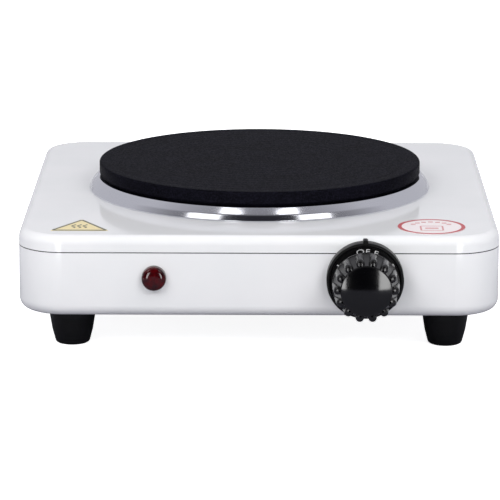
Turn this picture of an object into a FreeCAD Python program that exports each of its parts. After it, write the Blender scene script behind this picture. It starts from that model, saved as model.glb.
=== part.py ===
import FreeCAD, Part
import math
import os
import re
import Sketcher
from FreeCAD import Placement, Rotation, Vector

# Electric hot plate with one cast iron cooking plate.  Millimetres, +Z up, the front faces -Y.
# The origin is the centre of the whole outline, on the surface that the feet stand on.

doc = FreeCAD.newDocument("HotPlate")

# ------------------------------------------------------------------------------------------
# Driving sizes.  Each one is a plain number in the sheet Dims, under its own alias.
# ------------------------------------------------------------------------------------------
DIMS = [
    # housing
    ("body_width", 220), ("body_depth", 224), ("corner_radius", 21), ("gauge", 0.6),
    ("pan_height", 29.75), ("seam_gap", 0.3), ("skirt_height", 7.45),
    ("deck_edge_radius", 4), ("pan_edge_radius", 5),
    ("lip_rise", 3.0), ("lip_clearance", 0.3),
    ("hole_radius", 72), ("collar_drop", 2.4),
    # feet, their screws and the corner posts
    ("foot_height", 17.7), ("foot_inset", 24), ("foot_top_radius", 10.9),
    ("foot_base_radius", 7.9), ("foot_rounding", 1.5),
    ("foot_recess_radius", 4), ("foot_recess_depth", 6),
    ("screw_radius", 2), ("screw_head_radius", 3.5), ("screw_head_height", 2.4),
    ("screw_reach", 14), ("thread_clearance", 0.05), ("hole_clearance", 0.2),
    ("post_radius", 4),
    # cooking plate
    ("plate_radius", 77.5), ("plate_rise", 13.2), ("plate_slab", 8), ("plate_edge_radius", 0.9),
    ("rim_height", 5.5), ("rim_chamfer", 1.5), ("element_depth", 9.4),
    ("outer_wall_radius", 70), ("outer_wall", 4), ("inner_wall_radius", 20), ("inner_wall", 4),
    ("boss_radius", 8), ("thread_depth", 8),
    # heating element
    ("fill_clearance", 0.1), ("coil_radius", 2.2), ("coil_start", 30), ("coil_pitch", 7.5),
    ("coil_turns", 4), ("coil_level", 4.6),
    ("pin_radius", 1.2), ("pin_reach", 14),
    ("bar_width", 10), ("bar_height", 10), ("bar_margin", 6), ("bar_clearance", 0.5),
    # what the centre stud clamps
    ("cover_radius", 69.5), ("pad_radius", 62), ("pad_thickness", 1.5),
    ("shield_radius", 64), ("shield_rim", 1.8), ("bridge_width", 18), ("bridge_thickness", 1.5),
    ("bridge_half", 84), ("bridge_bend", 68), ("bridge_tab", 76.5),
    ("stud_radius", 2.5), ("washer_radius", 6), ("washer_thickness", 1),
    ("nut_flats", 8), ("nut_height", 4), ("stud_tail", 2.5),
    # trim ring
    ("ring_radius", 82.3), ("ring_hem", 0.8), ("ring_shoulder", 76.4), ("ring_inner", 70.4),
    ("ring_gauge", 0.6), ("ring_flank_radius", 81.6), ("ring_flank_height", 2.4),
    ("ring_bulge_radius", 79.8), ("ring_bulge_height", 4.6),
    # control knob and its dial
    ("knob_x", 48.1), ("control_height", 18.4),
    ("bezel_radius", 17.5), ("bezel_bore", 15.9), ("bezel_depth", 6), ("bezel_floor", 1.5),
    ("nub_width", 2.3), ("nub_rise", 1.3),
    ("dial_radius", 15.6), ("dial_front", 5.2), ("dial_thickness", 1),
    ("hub_radius", 6), ("hub_back", 3.8), ("neck_radius", 12), ("grip_back", 13.3),
    ("rim_radius", 15.2), ("rim_thickness", 1.5), ("skirt_radius", 14.6), ("grip_radius", 12.2),
    ("rib_root_radius", 15.1),
    ("rib_tip_radius", 14.6), ("rib_front", 23.6), ("rib_width", 3.6), ("rib_count", 14),
    ("grip_front", 24.8), ("cap_radius", 11.3), ("cap_recess", 1.2), ("cap_rise", 0.5),
    ("cap_crown", 1.1), ("knob_bore_depth", 18),
    # thermostat
    ("spindle_radius", 3), ("spindle_clearance", 0.05), ("spindle_front", 17),
    ("spindle_back", 7.8), ("flat_height", 2), ("flat_start", 6),
    ("bush_radius", 4.8), ("bush_front", 1.2), ("control_screw_radius", 1.5),
    ("control_screw_pitch", 22), ("control_head_radius", 2.8), ("control_head_height", 1.8),
    ("frame_metal", 1.2), ("ceramic_width", 26), ("ceramic_height", 20),
    ("ceramic_back", 24), ("ceramic_front", 8.2), ("pin_hole_radius", 2.05),
    ("adjuster_radius", 2), ("adjuster_tip", 0.7), ("adjuster_front", 9.4), ("adjuster_gap", 0.2),
    ("blade_metal", 0.4), ("blade_width", 6), ("blade_gap", 2.2), ("blade_drop", 9),
    ("blade_pivot", 4), ("clamp_height", 5.4), ("tab_reach", 19), ("contact_radius", 1.6),
    ("contact_height", 0.4), ("bimetal_metal", 0.8), ("bimetal_width", 8),
    ("bimetal_drop", 13), ("rivet_radius", 1.2), ("blade_clearance", 0.2),
    # pilot lamp
    ("lamp_x", -47.5), ("lens_radius", 5.65), ("lens_flange", 1.1), ("lens_crown", 4.3),
    ("lens_wall", 1.2), ("barrel_radius", 4.6), ("barrel_wall", 1.2), ("barrel_back", 22),
    ("bulb_radius", 2.9), ("bulb_front", 1), ("bulb_dome", 2.2), ("bulb_back", 14),
    ("clip_radius", 7.5), ("clip_thickness", 0.8),
    # cable gland and terminal block
    ("gland_x", -60), ("gland_height", 15.5), ("gland_radius", 7), ("gland_flange_radius", 9.5),
    ("gland_reach", 9), ("gland_bore", 3.6), ("gland_inner", 9), ("gland_nut_flats", 18),
    ("gland_nut_height", 5),
    ("block_gap", 14), ("block_width", 34), ("block_depth", 18), ("block_height", 15),
    ("way_pitch", 10), ("way_level", 7), ("sleeve_radius", 2.4), ("sleeve_bore", 1.5),
    ("clamp_screw_radius", 1.3), ("clamp_screw_spacing", 9), ("block_screw_radius", 1.6),
    ("block_screw_reach", 4),
    # ventilation, earth point, rating plate and labels
    ("slot_width", 3), ("slot_length", 46), ("slot_pitch", 9), ("slot_count", 12),
    ("earth_x", -34), ("earth_y", 62), ("earth_radius", 2), ("ring_tag_radius", 4.2),
    ("rating_width", 44), ("rating_depth", 26), ("rating_y", 60), ("foil", 0.2),
    ("triangle_side", 26), ("triangle_x", -81.8), ("triangle_base_y", -100.5),
    ("round_label_radius", 15.4), ("round_label_x", 79), ("round_label_y", -90.5),
    # insulated leads
    ("lead_radius", 1.1), ("lamp_lead_radius", 0.7), ("lamp_lead_spacing", 3.2),
]

# Levels and places that follow from the driving sizes.  They are formulas in the sheet Levels.
LEVELS = [
    ("body_y", "(grip_front + cap_rise + cap_crown - gland_reach) / 2"),
    ("front_y", "body_y - body_depth / 2"),
    ("rear_y", "body_y + body_depth / 2"),
    ("foot_x", "body_width / 2 - foot_inset"),
    ("foot_y", "body_depth / 2 - foot_inset"),
    ("floor_top", "foot_height + gauge"),
    ("pan_top", "foot_height + pan_height"),
    ("deck_top", "pan_top + seam_gap + skirt_height"),
    ("deck_under", "deck_top - gauge"),
    ("control_z", "foot_height + control_height"),
    ("lip_step", "gauge + lip_clearance"),
    ("plate_top", "deck_top + plate_rise"),
    ("rim_under", "plate_top - rim_height - rim_chamfer"),
    ("slab_under", "plate_top - plate_slab"),
    ("wall_foot", "rim_under - element_depth"),
    ("coil_z", "wall_foot + coil_level"),
    ("coil_end", "coil_start + coil_pitch * coil_turns"),
    ("cover_under", "wall_foot - gauge"),
    ("pad_under", "cover_under - pad_thickness"),
    ("shield_under", "pad_under - gauge"),
    ("bridge_under", "shield_under - bridge_thickness"),
    ("washer_under", "bridge_under - washer_thickness"),
    ("nut_under", "washer_under - nut_height"),
    ("bar_top", "wall_foot - gauge - bar_clearance"),
    ("bar_middle", "(coil_start + coil_end) / 2"),
    ("bar_length", "coil_end - coil_start + 2 * bar_margin"),
    ("slot_size", "bar_width + 2 * bar_clearance"),
    ("ring_top", "rim_under - deck_top"),
    ("blade_front", "ceramic_back + blade_metal / 2"),
    ("tab_back", "ceramic_back + blade_metal"),
    ("fixed_front", "tab_back + blade_gap"),
    ("fixed_back", "fixed_front + blade_metal"),
    ("block_y", "rear_y - gauge - gland_inner - block_gap"),
    ("way_z", "floor_top + way_level"),
    ("clamp_y", "blade_pivot + clamp_height / 2"),
]

PREFIX = {name: "Dims." for name, value in DIMS}
PREFIX.update({name: "Levels." for name, formula in LEVELS})


def ref(text):
    """Point every size named in an expression at its sheet."""
    return re.sub(r"[a-z][a-z_]*", lambda word: PREFIX.get(word.group(), "") + word.group(), text)


def fill_sheet(name, rows, formula=False):
    sheet = doc.addObject("Spreadsheet::Sheet", name)
    for number, (alias, value) in enumerate(rows, 1):
        sheet.set("A%d" % number, alias)
        sheet.set("B%d" % number, "=" + ref(value) if formula else str(value))
        sheet.setAlias("B%d" % number, alias)
    doc.recompute()
    return sheet


dims = fill_sheet("Dims", DIMS)
fill_sheet("Levels", LEVELS, formula=True)


def val(text):
    """The number that an expression stands for now."""
    return float(dims.evalExpression(ref(str(text))))


def bind(item, **settings):
    for name, text in settings.items():
        item.setExpression(name, ref(text))


# ------------------------------------------------------------------------------------------
# Bodies, sketches and features
# ------------------------------------------------------------------------------------------
FRONT = Rotation(Vector(1, 0, 0), 90)     # local z points out of the front wall, local y up
REAR = Rotation(Vector(1, 0, 0), -90)     # local z points out of the rear wall, local y down
sub_parts = []


def place(part, x="0", y="body_y", z="0", turn=Rotation()):
    part.Placement = Placement(Vector(val(x), val(y), val(z)), turn)
    part.setExpression("Placement.Base.x", ref(x))
    part.setExpression("Placement.Base.y", ref(y))
    part.setExpression("Placement.Base.z", ref(z))
    return part


def new_body(name):
    body = doc.addObject("PartDesign::Body", name)
    body.Label = name
    sub_parts.append(body)
    return body


def origin_feature(body, role):
    return next(item for item in body.Origin.OriginFeatures if item.Role == role)


def new_sketch(body, plane="XY_Plane", lift=None):
    sketch = body.newObject("Sketcher::SketchObject", body.Name + "_sketch")
    sketch.AttachmentSupport = [(origin_feature(body, plane), "")]
    sketch.MapMode = "FlatFace"
    if lift:
        sketch.setExpression("AttachmentOffset.Base.z", ref(lift))
    return sketch


def fix_point(sketch, geometry, end, x, y):
    """Hold one point of a sketch at x across and y up from the sketch's origin."""
    for axis, kind, text in ((-2, "DistanceX", x), (-1, "DistanceY", y)):
        if text == "0":
            sketch.addConstraint(Sketcher.Constraint("PointOnObject", geometry, end, axis))
            continue
        rule = Sketcher.Constraint(kind, -1, 1, geometry, end, val(text))
        number = sketch.addConstraint(rule)
        sketch.setExpression("Constraints[%d]" % number, ref(text))


def fix_size(sketch, kind, geometry, text):
    number = sketch.addConstraint(Sketcher.Constraint(kind, geometry, val(text)))
    sketch.setExpression("Constraints[%d]" % number, ref(text))


def arc_between(start, end, radius):
    """Arc from start round to end, anticlockwise."""
    chord = end - start
    half = chord.Length / 2
    right = Vector(chord.y, -chord.x, 0).normalize()
    sag = radius - math.sqrt(radius * radius - half * half)
    return Part.Arc(start, (start + end) * 0.5 + right * sag, end)


def outline(sketch, corners, arcs=None):
    """Closed outline through the corners, each a pair of expressions.

    arcs gives {number: radius} for the sides that are arcs, counted from the first corner.
    A side bulges to the right of the way it goes, or to the left if its radius has a minus.
    """
    arcs = arcs or {}
    points = [Vector(val(x), val(y), 0) for x, y in corners]
    ends = []
    for number, start in enumerate(points):
        end = points[(number + 1) % len(points)]
        text = arcs.get(number)
        if text is None:
            geometry = sketch.addGeometry(Part.LineSegment(start, end), False)
            ends.append((geometry, 1, 2))
        elif text.startswith("-"):
            geometry = sketch.addGeometry(arc_between(end, start, val(text[1:])), False)
            fix_size(sketch, "Radius", geometry, text[1:])
            ends.append((geometry, 2, 1))
        else:
            geometry = sketch.addGeometry(arc_between(start, end, val(text)), False)
            fix_size(sketch, "Radius", geometry, text)
            ends.append((geometry, 1, 2))
    for number, (geometry, first, last) in enumerate(ends):
        following, start, _ = ends[(number + 1) % len(ends)]
        sketch.addConstraint(
            Sketcher.Constraint("Coincident", geometry, last, following, start))
        fix_point(sketch, geometry, first, *corners[number])


def circle(sketch, radius, x="0", y="0"):
    shape = Part.Circle(Vector(val(x), val(y), 0), Vector(0, 0, 1), val(radius))
    geometry = sketch.addGeometry(shape, False)
    fix_size(sketch, "Radius", geometry, radius)
    fix_point(sketch, geometry, 3, x, y)


def rectangle(sketch, width, height, x="0", y="0"):
    left, right = "%s - (%s) / 2" % (x, width), "%s + (%s) / 2" % (x, width)
    low, high = "%s - (%s) / 2" % (y, height), "%s + (%s) / 2" % (y, height)
    outline(sketch, [(left, low), (right, low), (right, high), (left, high)])


def rounded_rectangle(sketch, width, height, radius):
    """Rectangle about the origin with its corners rounded, as lines tangent to arcs."""
    across, up, bend = val(width) / 2, val(height) / 2, val(radius)
    arcs = []
    for number, (sx, sy) in enumerate(((1, 1), (-1, 1), (-1, -1), (1, -1))):
        centre = Vector(sx * (across - bend), sy * (up - bend), 0)
        turn = Part.Circle(centre, Vector(0, 0, 1), bend)
        start = number * math.pi / 2
        arcs.append(sketch.addGeometry(Part.ArcOfCircle(turn, start, start + math.pi / 2), False))
        fix_size(sketch, "Radius", arcs[-1], radius)
        signs = ("" if sx > 0 else "-1 * "), ("" if sy > 0 else "-1 * ")
        fix_point(sketch, arcs[-1], 3, signs[0] + "((%s) / 2 - (%s))" % (width, radius),
                  signs[1] + "((%s) / 2 - (%s))" % (height, radius))
    for number, arc in enumerate(arcs):
        following = arcs[(number + 1) % 4]
        start = sketch.Geometry[arc].EndPoint
        end = sketch.Geometry[following].StartPoint
        line = sketch.addGeometry(Part.LineSegment(start, end), False)
        sketch.addConstraint(Sketcher.Constraint("Tangent", arc, 2, line, 1))
        sketch.addConstraint(Sketcher.Constraint("Tangent", line, 2, following, 1))


def feature(body, kind, sketch, **settings):
    item = body.newObject("PartDesign::" + kind, body.Name + "_" + kind.lower())
    item.Profile = sketch
    for name, value in settings.items():
        setattr(item, name, value)
    return item


def pad(body, sketch, length, **settings):
    item = feature(body, "Pad", sketch, **settings)
    bind(item, Length=length)
    return item


def cut(body, sketch, length, **settings):
    """Pocket as deep as length, both ways from its sketch."""
    item = feature(body, "Pocket", sketch, Midplane=True, **settings)
    bind(item, Length="2 * (%s)" % length)
    return item


def revolve(body, sketch, kind="Revolution"):
    return feature(body, kind, sketch, ReferenceAxis=(sketch, ["V_Axis"]), Angle=360)


def edges_where(item, test):
    doc.recompute()
    return ["Edge%d" % n for n, edge in enumerate(item.Shape.Edges, 1) if test(edge)]


def fillet(body, item, edges, radius, kind="Fillet"):
    result = body.newObject("PartDesign::" + kind, body.Name + "_" + kind.lower())
    result.Base = (item, edges)
    bind(result, **{"Radius" if kind == "Fillet" else "Size": radius})
    return result


def shell(body, item, face_test, wall):
    doc.recompute()
    faces = ["Face%d" % n for n, face in enumerate(item.Shape.Faces, 1) if face_test(face)]
    result = body.newObject("PartDesign::Thickness", body.Name + "_shell")
    result.Base = (item, faces)
    result.Reversed = True
    bind(result, Value=wall)
    return result


def at_height(z):
    """Test for edges and faces that lie flat at one height of their body."""
    level = val(z)
    return lambda item: (abs(item.BoundBox.ZMin - level) < 1e-4
                         and abs(item.BoundBox.ZMax - level) < 1e-4)


def pattern(body, items, axis, length, count):
    item = body.newObject("PartDesign::LinearPattern", body.Name + "_row")
    item.Originals = items
    item.Direction = (origin_feature(body, axis), [""])
    bind(item, Length=length, Occurrences=str(count))
    body.Tip = item
    return item


def four_corners(body, items, width, depth):
    """Repeat features at the four corners of a rectangle that starts at their own place."""
    rows = []
    for axis, length in (("X_Axis", width), ("Y_Axis", depth)):
        row = doc.addObject("PartDesign::LinearPattern", body.Name + "_row")
        row.Direction = (origin_feature(body, axis), [""])
        row.Occurrences = 2
        bind(row, Length=length)
        rows.append(row)
    grid = body.newObject("PartDesign::MultiTransform", body.Name + "_corners")
    grid.Originals = items
    for row in rows:
        body.addObject(row)
    grid.Transformations = rows
    body.Tip = grid
    return grid


def turned(name, corners, arcs=None):
    """A piece turned about its local z axis: corners are (radius, height)."""
    body = new_body(name)
    sketch = new_sketch(body, "XZ_Plane")
    outline(sketch, corners, arcs)
    revolve(body, sketch)
    return body


def ring(name, inner, outer, low, high):
    return turned(name, [(inner, low), (outer, low), (outer, high), (inner, high)])


def disc(name, outer, low, high):
    return turned(name, [("0", low), (outer, low), (outer, high), ("0", high)])


def block(body, width, height, low, high, x="0", y="0"):
    """Rectangular pad in the body's XY plane, from height low to height high."""
    sketch = new_sketch(body, lift=low)
    rectangle(sketch, width, height, x, y)
    return pad(body, sketch, "(%s) - (%s)" % (high, low))


def rod(body, radius, low, high, x="0", y="0"):
    sketch = new_sketch(body, lift=low)
    circle(sketch, radius, x, y)
    return pad(body, sketch, "(%s) - (%s)" % (high, low))


def hole(body, radius, level, depth, x="0", y="0"):
    sketch = new_sketch(body, lift=level)
    circle(sketch, radius, x, y)
    return cut(body, sketch, depth)


# ------------------------------------------------------------------------------------------
# Housing
# ------------------------------------------------------------------------------------------
def make_top_cover():
    """Deck and skirt pressed from one sheet, with a collared hole for the cooking plate."""
    body = new_body("top_cover")
    sketch = new_sketch(body, lift="pan_top + seam_gap")
    rounded_rectangle(sketch, "body_width", "body_depth", "corner_radius")
    blank = pad(body, sketch, "skirt_height")
    rounded = fillet(body, blank, edges_where(blank, at_height("deck_top")), "deck_edge_radius")
    shell(body, rounded, at_height("pan_top + seam_gap"), "gauge")
    hole(body, "hole_radius", "deck_top", "skirt_height")
    sketch = new_sketch(body, lift="deck_under - collar_drop")
    circle(sketch, "hole_radius")
    circle(sketch, "hole_radius + gauge")
    pad(body, sketch, "collar_drop + gauge")
    place(body)


def make_base_pan():
    """Bottom tray with a stepped-in lip that the cover's skirt goes over."""
    body = new_body("base_pan")
    sketch = new_sketch(body, lift="foot_height")
    rounded_rectangle(sketch, "body_width", "body_depth", "corner_radius")
    blank = pad(body, sketch, "pan_height")
    rounded = fillet(body, blank, edges_where(blank, at_height("foot_height")),
                     "pan_edge_radius")
    shell(body, rounded, at_height("pan_top"), "gauge")
    for inset, low, high in (("0", "pan_top - gauge", "pan_top"),
                             ("lip_step", "pan_top - gauge", "pan_top + lip_rise")):
        sketch = new_sketch(body, lift=low)
        rounded_rectangle(sketch, "body_width - 2 * (%s)" % inset,
                          "body_depth - 2 * (%s)" % inset, "corner_radius - (%s)" % inset)
        rounded_rectangle(sketch, "body_width - 2 * (lip_step + gauge)",
                          "body_depth - 2 * (lip_step + gauge)",
                          "corner_radius - lip_step - gauge")
        pad(body, sketch, "(%s) - (%s)" % (high, low))
    cut_floor_slots(body)
    for x in ("-1 * foot_x", "foot_x"):
        for y in ("-1 * foot_y", "foot_y"):
            hole(body, "screw_radius + hole_clearance", "foot_height", "2 * gauge", x, y)
    hole(body, "block_screw_radius + hole_clearance", "foot_height", "2 * gauge",
         "gland_x", "block_y - body_y")
    hole(body, "earth_radius + hole_clearance", "foot_height", "2 * gauge", "earth_x", "earth_y")
    cut_wall_holes(body)
    place(body)


def cut_floor_slots(body):
    """Row of round-ended ventilation slots through the floor, under the cooking plate."""
    left = "-1 * slot_pitch * (slot_count - 1) / 2"
    straight = new_sketch(body, lift="foot_height")
    rectangle(straight, "slot_width", "slot_length - slot_width", left)
    ends = new_sketch(body, lift="foot_height")
    for side in ("-1 * ", ""):
        circle(ends, "slot_width / 2", left, side + "(slot_length - slot_width) / 2")
    slot = [cut(body, straight, "2 * gauge"), cut(body, ends, "2 * gauge")]
    pattern(body, slot, "X_Axis", "slot_pitch * (slot_count - 1)", "slot_count")


def cut_wall_holes(body):
    """Holes for the thermostat, its two screws and the lamp in front, for the gland behind."""
    sketch = new_sketch(body, "XZ_Plane", "body_depth / 2")
    circle(sketch, "bush_radius + hole_clearance", "knob_x", "control_z")
    for side in ("-", "+"):
        circle(sketch, "control_screw_radius + hole_clearance",
               "knob_x %s control_screw_pitch / 2" % side, "control_z")
    circle(sketch, "barrel_radius + hole_clearance", "lamp_x", "control_z")
    cut(body, sketch, "2 * gauge")
    sketch = new_sketch(body, "XZ_Plane", "-1 * body_depth / 2")
    circle(sketch, "gland_radius + hole_clearance", "gland_x", "foot_height + gland_height")
    cut(body, sketch, "2 * gauge")


def make_foot(name, x, y):
    """Moulded foot: tapered, rounded at the base, with a deep recess for its screw."""
    body = turned(name, [
        ("screw_radius + hole_clearance", "foot_height"),
        ("screw_radius + hole_clearance", "foot_recess_depth"),
        ("foot_recess_radius", "foot_recess_depth"),
        ("foot_recess_radius", "0"),
        ("foot_base_radius - foot_rounding", "0"),
        ("foot_base_radius", "foot_rounding"),
        ("foot_top_radius", "foot_height")], {4: "foot_rounding"})
    place(body, x, "body_y + (%s)" % y)


def make_foot_screws():
    body = new_body("foot_screws")
    sketch = new_sketch(body, "XZ_Plane")
    seat = "foot_recess_depth"
    outline(sketch, [("0", seat + " - screw_head_height"),
                     ("screw_head_radius", seat + " - screw_head_height"),
                     ("screw_head_radius", seat),
                     ("screw_radius - thread_clearance", seat),
                     ("screw_radius - thread_clearance", "floor_top + screw_reach"),
                     ("0", "floor_top + screw_reach")])
    screw = revolve(body, sketch)
    four_corners(body, [screw], "2 * foot_x", "2 * foot_y")
    place(body, "-1 * foot_x", "body_y - foot_y")


def make_corner_posts():
    """Threaded posts under the deck, one over each foot, which the foot screws pull down on."""
    body = new_body("corner_posts")
    sketch = new_sketch(body, lift="floor_top")
    circle(sketch, "post_radius")
    circle(sketch, "screw_radius")
    post = pad(body, sketch, "deck_under - floor_top")
    four_corners(body, [post], "2 * foot_x", "2 * foot_y")
    place(body, "-1 * foot_x", "body_y - foot_y")


# ------------------------------------------------------------------------------------------
# Cooking plate, heating element and what holds them
# ------------------------------------------------------------------------------------------
def make_cooking_plate():
    """Cast iron disc with two walls below for the coil, and a boss for the centre stud."""
    body = new_body("cooking_plate")
    sketch = new_sketch(body, "XZ_Plane")
    edge = "plate_edge_radius"
    outline(sketch, [
        ("0", "plate_top"),
        ("plate_radius - " + edge, "plate_top"),
        ("plate_radius", "plate_top - " + edge),
        ("plate_radius", "plate_top - rim_height"),
        ("plate_radius - rim_chamfer", "rim_under"),
        ("outer_wall_radius", "rim_under"),
        ("outer_wall_radius", "wall_foot"),
        ("outer_wall_radius - outer_wall", "wall_foot"),
        ("outer_wall_radius - outer_wall", "slab_under"),
        ("inner_wall_radius + inner_wall", "slab_under"),
        ("inner_wall_radius + inner_wall", "wall_foot"),
        ("inner_wall_radius", "wall_foot"),
        ("inner_wall_radius", "slab_under"),
        ("boss_radius", "slab_under"),
        ("boss_radius", "wall_foot"),
        ("stud_radius", "wall_foot"),
        ("stud_radius", "wall_foot + thread_depth"),
        ("0", "wall_foot + thread_depth")], {1: "-" + edge})
    revolve(body, sketch)
    place(body)


def spiral(sketch):
    """Flat spiral of half circles whose centres step between two points."""
    start = val("coil_start")
    step = val("coil_pitch") / 2
    for number in range(2 * int(val("coil_turns"))):
        centre = Vector(step if number % 2 else 0, 0, 0)
        turn = Part.Circle(centre, Vector(0, 0, 1), start + step * number)
        first = math.pi * (number % 2)
        half = sketch.addGeometry(Part.ArcOfCircle(turn, first, first + math.pi), False)
        fix_point(sketch, half, 3, "coil_pitch / 2" if number % 2 else "0", "0")
        sketch.addConstraint(Sketcher.Constraint("PointOnObject", half, 2, -1))
        if number:
            sketch.addConstraint(Sketcher.Constraint("Coincident", half - 1, 2, half, 1))
        else:
            sketch.addConstraint(Sketcher.Constraint("PointOnObject", half, 1, -1))
            fix_size(sketch, "Radius", half, "coil_start")


def make_heating_coil():
    """Spiral element in its tube, with both ends turned down to the terminal pins."""
    body = new_body("heating_coil")
    path = new_sketch(body, lift="coil_z")
    spiral(path)
    section = new_sketch(body, "XZ_Plane")
    circle(section, "coil_radius", "coil_start", "coil_z")
    pipe = body.newObject("PartDesign::AdditivePipe", "heating_coil_pipe")
    pipe.Profile = section
    pipe.Spine = (path, ["Edge%d" % n for n in range(1, 2 * int(val("coil_turns")) + 1)])
    for end in ("coil_start", "coil_end"):
        rod(body, "coil_radius - fill_clearance", "wall_foot + fill_clearance", "coil_z", end)
    place(body, turn=Rotation(Vector(0, 0, 1), 90))
    return body


def make_element_fill(coil):
    """Ring of insulating cement, cast round the coil between the plate's two walls."""
    outer = doc.addObject("Part::Cylinder", "fill_outer")
    bind(outer, Radius="outer_wall_radius - outer_wall - fill_clearance",
         Height="slab_under - wall_foot - 2 * fill_clearance")
    place(outer, z="wall_foot + fill_clearance")
    inner = doc.addObject("Part::Cylinder", "fill_inner")
    bind(inner, Radius="inner_wall_radius + inner_wall + fill_clearance", Height="element_depth")
    place(inner, z="wall_foot")
    ring_shape = doc.addObject("Part::Cut", "fill_ring")
    ring_shape.Base, ring_shape.Tool = outer, inner
    fill = doc.addObject("Part::Cut", "element_fill")
    fill.Base, fill.Tool = ring_shape, coil
    fill.Label = "element_fill"
    sub_parts.append(fill)


def make_element_cover():
    """Sheet disc that closes the underside of the plate, with a slot for the terminal bar."""
    body = ring("element_cover", "stud_radius + hole_clearance", "cover_radius", "cover_under",
                "wall_foot")
    for end in ("coil_start", "coil_end"):
        hole(body, "pin_radius + hole_clearance", "wall_foot", "2 * gauge", "0", end)
    place(body)


def make_insulation_pad():
    body = ring("insulation_pad", "stud_radius + hole_clearance", "pad_radius", "pad_under",
                "cover_under")
    slot = new_sketch(body, lift="pad_under")
    rectangle(slot, "slot_size", "bar_length + 2 * bar_clearance", "0", "bar_middle")
    cut(body, slot, "2 * pad_thickness")
    place(body)


def make_heat_shield():
    """Shallow bright dish that keeps the element's heat off the wiring."""
    body = turned("heat_shield", [
        ("stud_radius + hole_clearance", "shield_under"),
        ("shield_radius", "shield_under"),
        ("shield_radius", "pad_under + shield_rim - gauge"),
        ("shield_radius - gauge", "pad_under + shield_rim - gauge"),
        ("shield_radius - gauge", "pad_under"),
        ("stud_radius + hole_clearance", "pad_under")])
    slot = new_sketch(body, lift="pad_under")
    rectangle(slot, "slot_size", "bar_length + 2 * bar_clearance", "0", "bar_middle")
    cut(body, slot, "2 * pad_thickness")
    place(body)


def make_clamp_bridge():
    """Strip under the element whose raised ends bear on the underside of the deck."""
    body = new_body("clamp_bridge")
    sketch = new_sketch(body, "XZ_Plane")
    right = [("bridge_bend", "bridge_under"),
             ("bridge_tab", "deck_under - bridge_thickness"),
             ("bridge_half", "deck_under - bridge_thickness"),
             ("bridge_half", "deck_under"),
             ("bridge_tab", "deck_under"),
             ("bridge_bend", "shield_under")]
    left = [("-1 * " + x, z) for x, z in reversed(right)]
    outline(sketch, right + left)
    pad(body, sketch, "bridge_width", Midplane=True)
    hole(body, "stud_radius + hole_clearance", "shield_under", "2 * bridge_thickness")
    place(body)


def make_stud_and_nut():
    place(disc("centre_stud", "stud_radius - thread_clearance", "nut_under - stud_tail",
               "wall_foot + thread_depth - hole_clearance"))
    place(ring("stud_washer", "stud_radius + hole_clearance", "washer_radius", "washer_under",
               "bridge_under"))
    place(hexagon_nut("stud_nut", "nut_flats", "stud_radius", "nut_under", "washer_under"))


def hexagon_nut(name, flats, bore, low, high):
    """Nut with six sides about its local z axis."""
    body = new_body(name)
    sketch = new_sketch(body, lift=low)
    across = "(%s) / sqrt(3)" % flats
    half = "(%s) / 2" % flats
    outline(sketch, [(across, "0"), (across + " / 2", half), ("-1 * %s / 2" % across, half),
                     ("-1 * " + across, "0"), ("-1 * %s / 2" % across, "-1 * " + half),
                     (across + " / 2", "-1 * " + half)])
    circle(sketch, bore)
    pad(body, sketch, "(%s) - (%s)" % (high, low))
    return body


def make_terminal_bar():
    """Ceramic bar under the element that the two pins pass through."""
    body = new_body("terminal_bar")
    block(body, "bar_width", "bar_length", "bar_top - bar_height", "bar_top", "0", "bar_middle")
    for end in ("coil_start", "coil_end"):
        hole(body, "pin_radius + hole_clearance / 2", "bar_top", "bar_height + 1", "0", end)
    place(body)


def make_element_pins():
    """Pins from the coil's ends, down through the bar to the leads."""
    body = new_body("element_pins")
    for end in ("coil_start", "coil_end"):
        rod(body, "pin_radius", "wall_foot + fill_clearance - pin_reach",
            "wall_foot + fill_clearance", "0", end)
    place(body)


def make_trim_ring():
    """Bright ring between plate and deck: a hem, a bulging flank and a seat for the rim."""
    metal = "ring_gauge"
    body = new_body("trim_ring")
    sketch = new_sketch(body, "XZ_Plane")
    outline(sketch, [
        ("ring_radius", "0"),
        ("ring_radius", "ring_hem"),
        ("ring_flank_radius", "ring_flank_height"),
        ("ring_bulge_radius", "ring_bulge_height"),
        ("ring_shoulder", "ring_top"),
        ("ring_inner", "ring_top"),
        ("ring_inner", "ring_top - " + metal),
        ("ring_shoulder - " + metal, "ring_top - " + metal),
        ("ring_bulge_radius - " + metal, "ring_bulge_height - " + metal),
        ("ring_flank_radius - 1.2 * " + metal, "ring_flank_height - 0.5 * " + metal),
        ("ring_radius - " + metal, "0")])
    revolve(body, sketch)
    place(body, z="deck_top")


# ------------------------------------------------------------------------------------------
# Control knob: bezel on the wall, and the dial, grip, cap and clip that turn
# ------------------------------------------------------------------------------------------
def on_front(body, x):
    return place(body, x, "front_y", "control_z", FRONT)


def make_bezel():
    """Fixed cup round the dial, with a pointer nub on top and the thermostat's screw holes."""
    body = turned("knob_bezel", [
        ("bush_radius + hole_clearance", "0"),
        ("bezel_radius", "0"),
        ("bezel_radius", "bezel_depth"),
        ("bezel_bore", "bezel_depth"),
        ("bezel_bore", "bezel_floor"),
        ("bush_radius + hole_clearance", "bezel_floor")])
    for side in ("-1 * ", ""):
        hole(body, "control_screw_radius + hole_clearance", "0", "2 * bezel_floor",
             side + "control_screw_pitch / 2")
    middle = "(bezel_bore + bezel_radius + nub_rise) / 2 + 0.25"
    block(body, "nub_width", "bezel_radius + nub_rise - bezel_bore - 0.5", "0", "bezel_depth",
          "0", middle)
    on_front(body, "knob_x")


def make_dial():
    on_front(ring("knob_dial", "hub_radius + fill_clearance", "dial_radius", "dial_front - dial_thickness",
                  "dial_front"), "knob_x")


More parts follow.
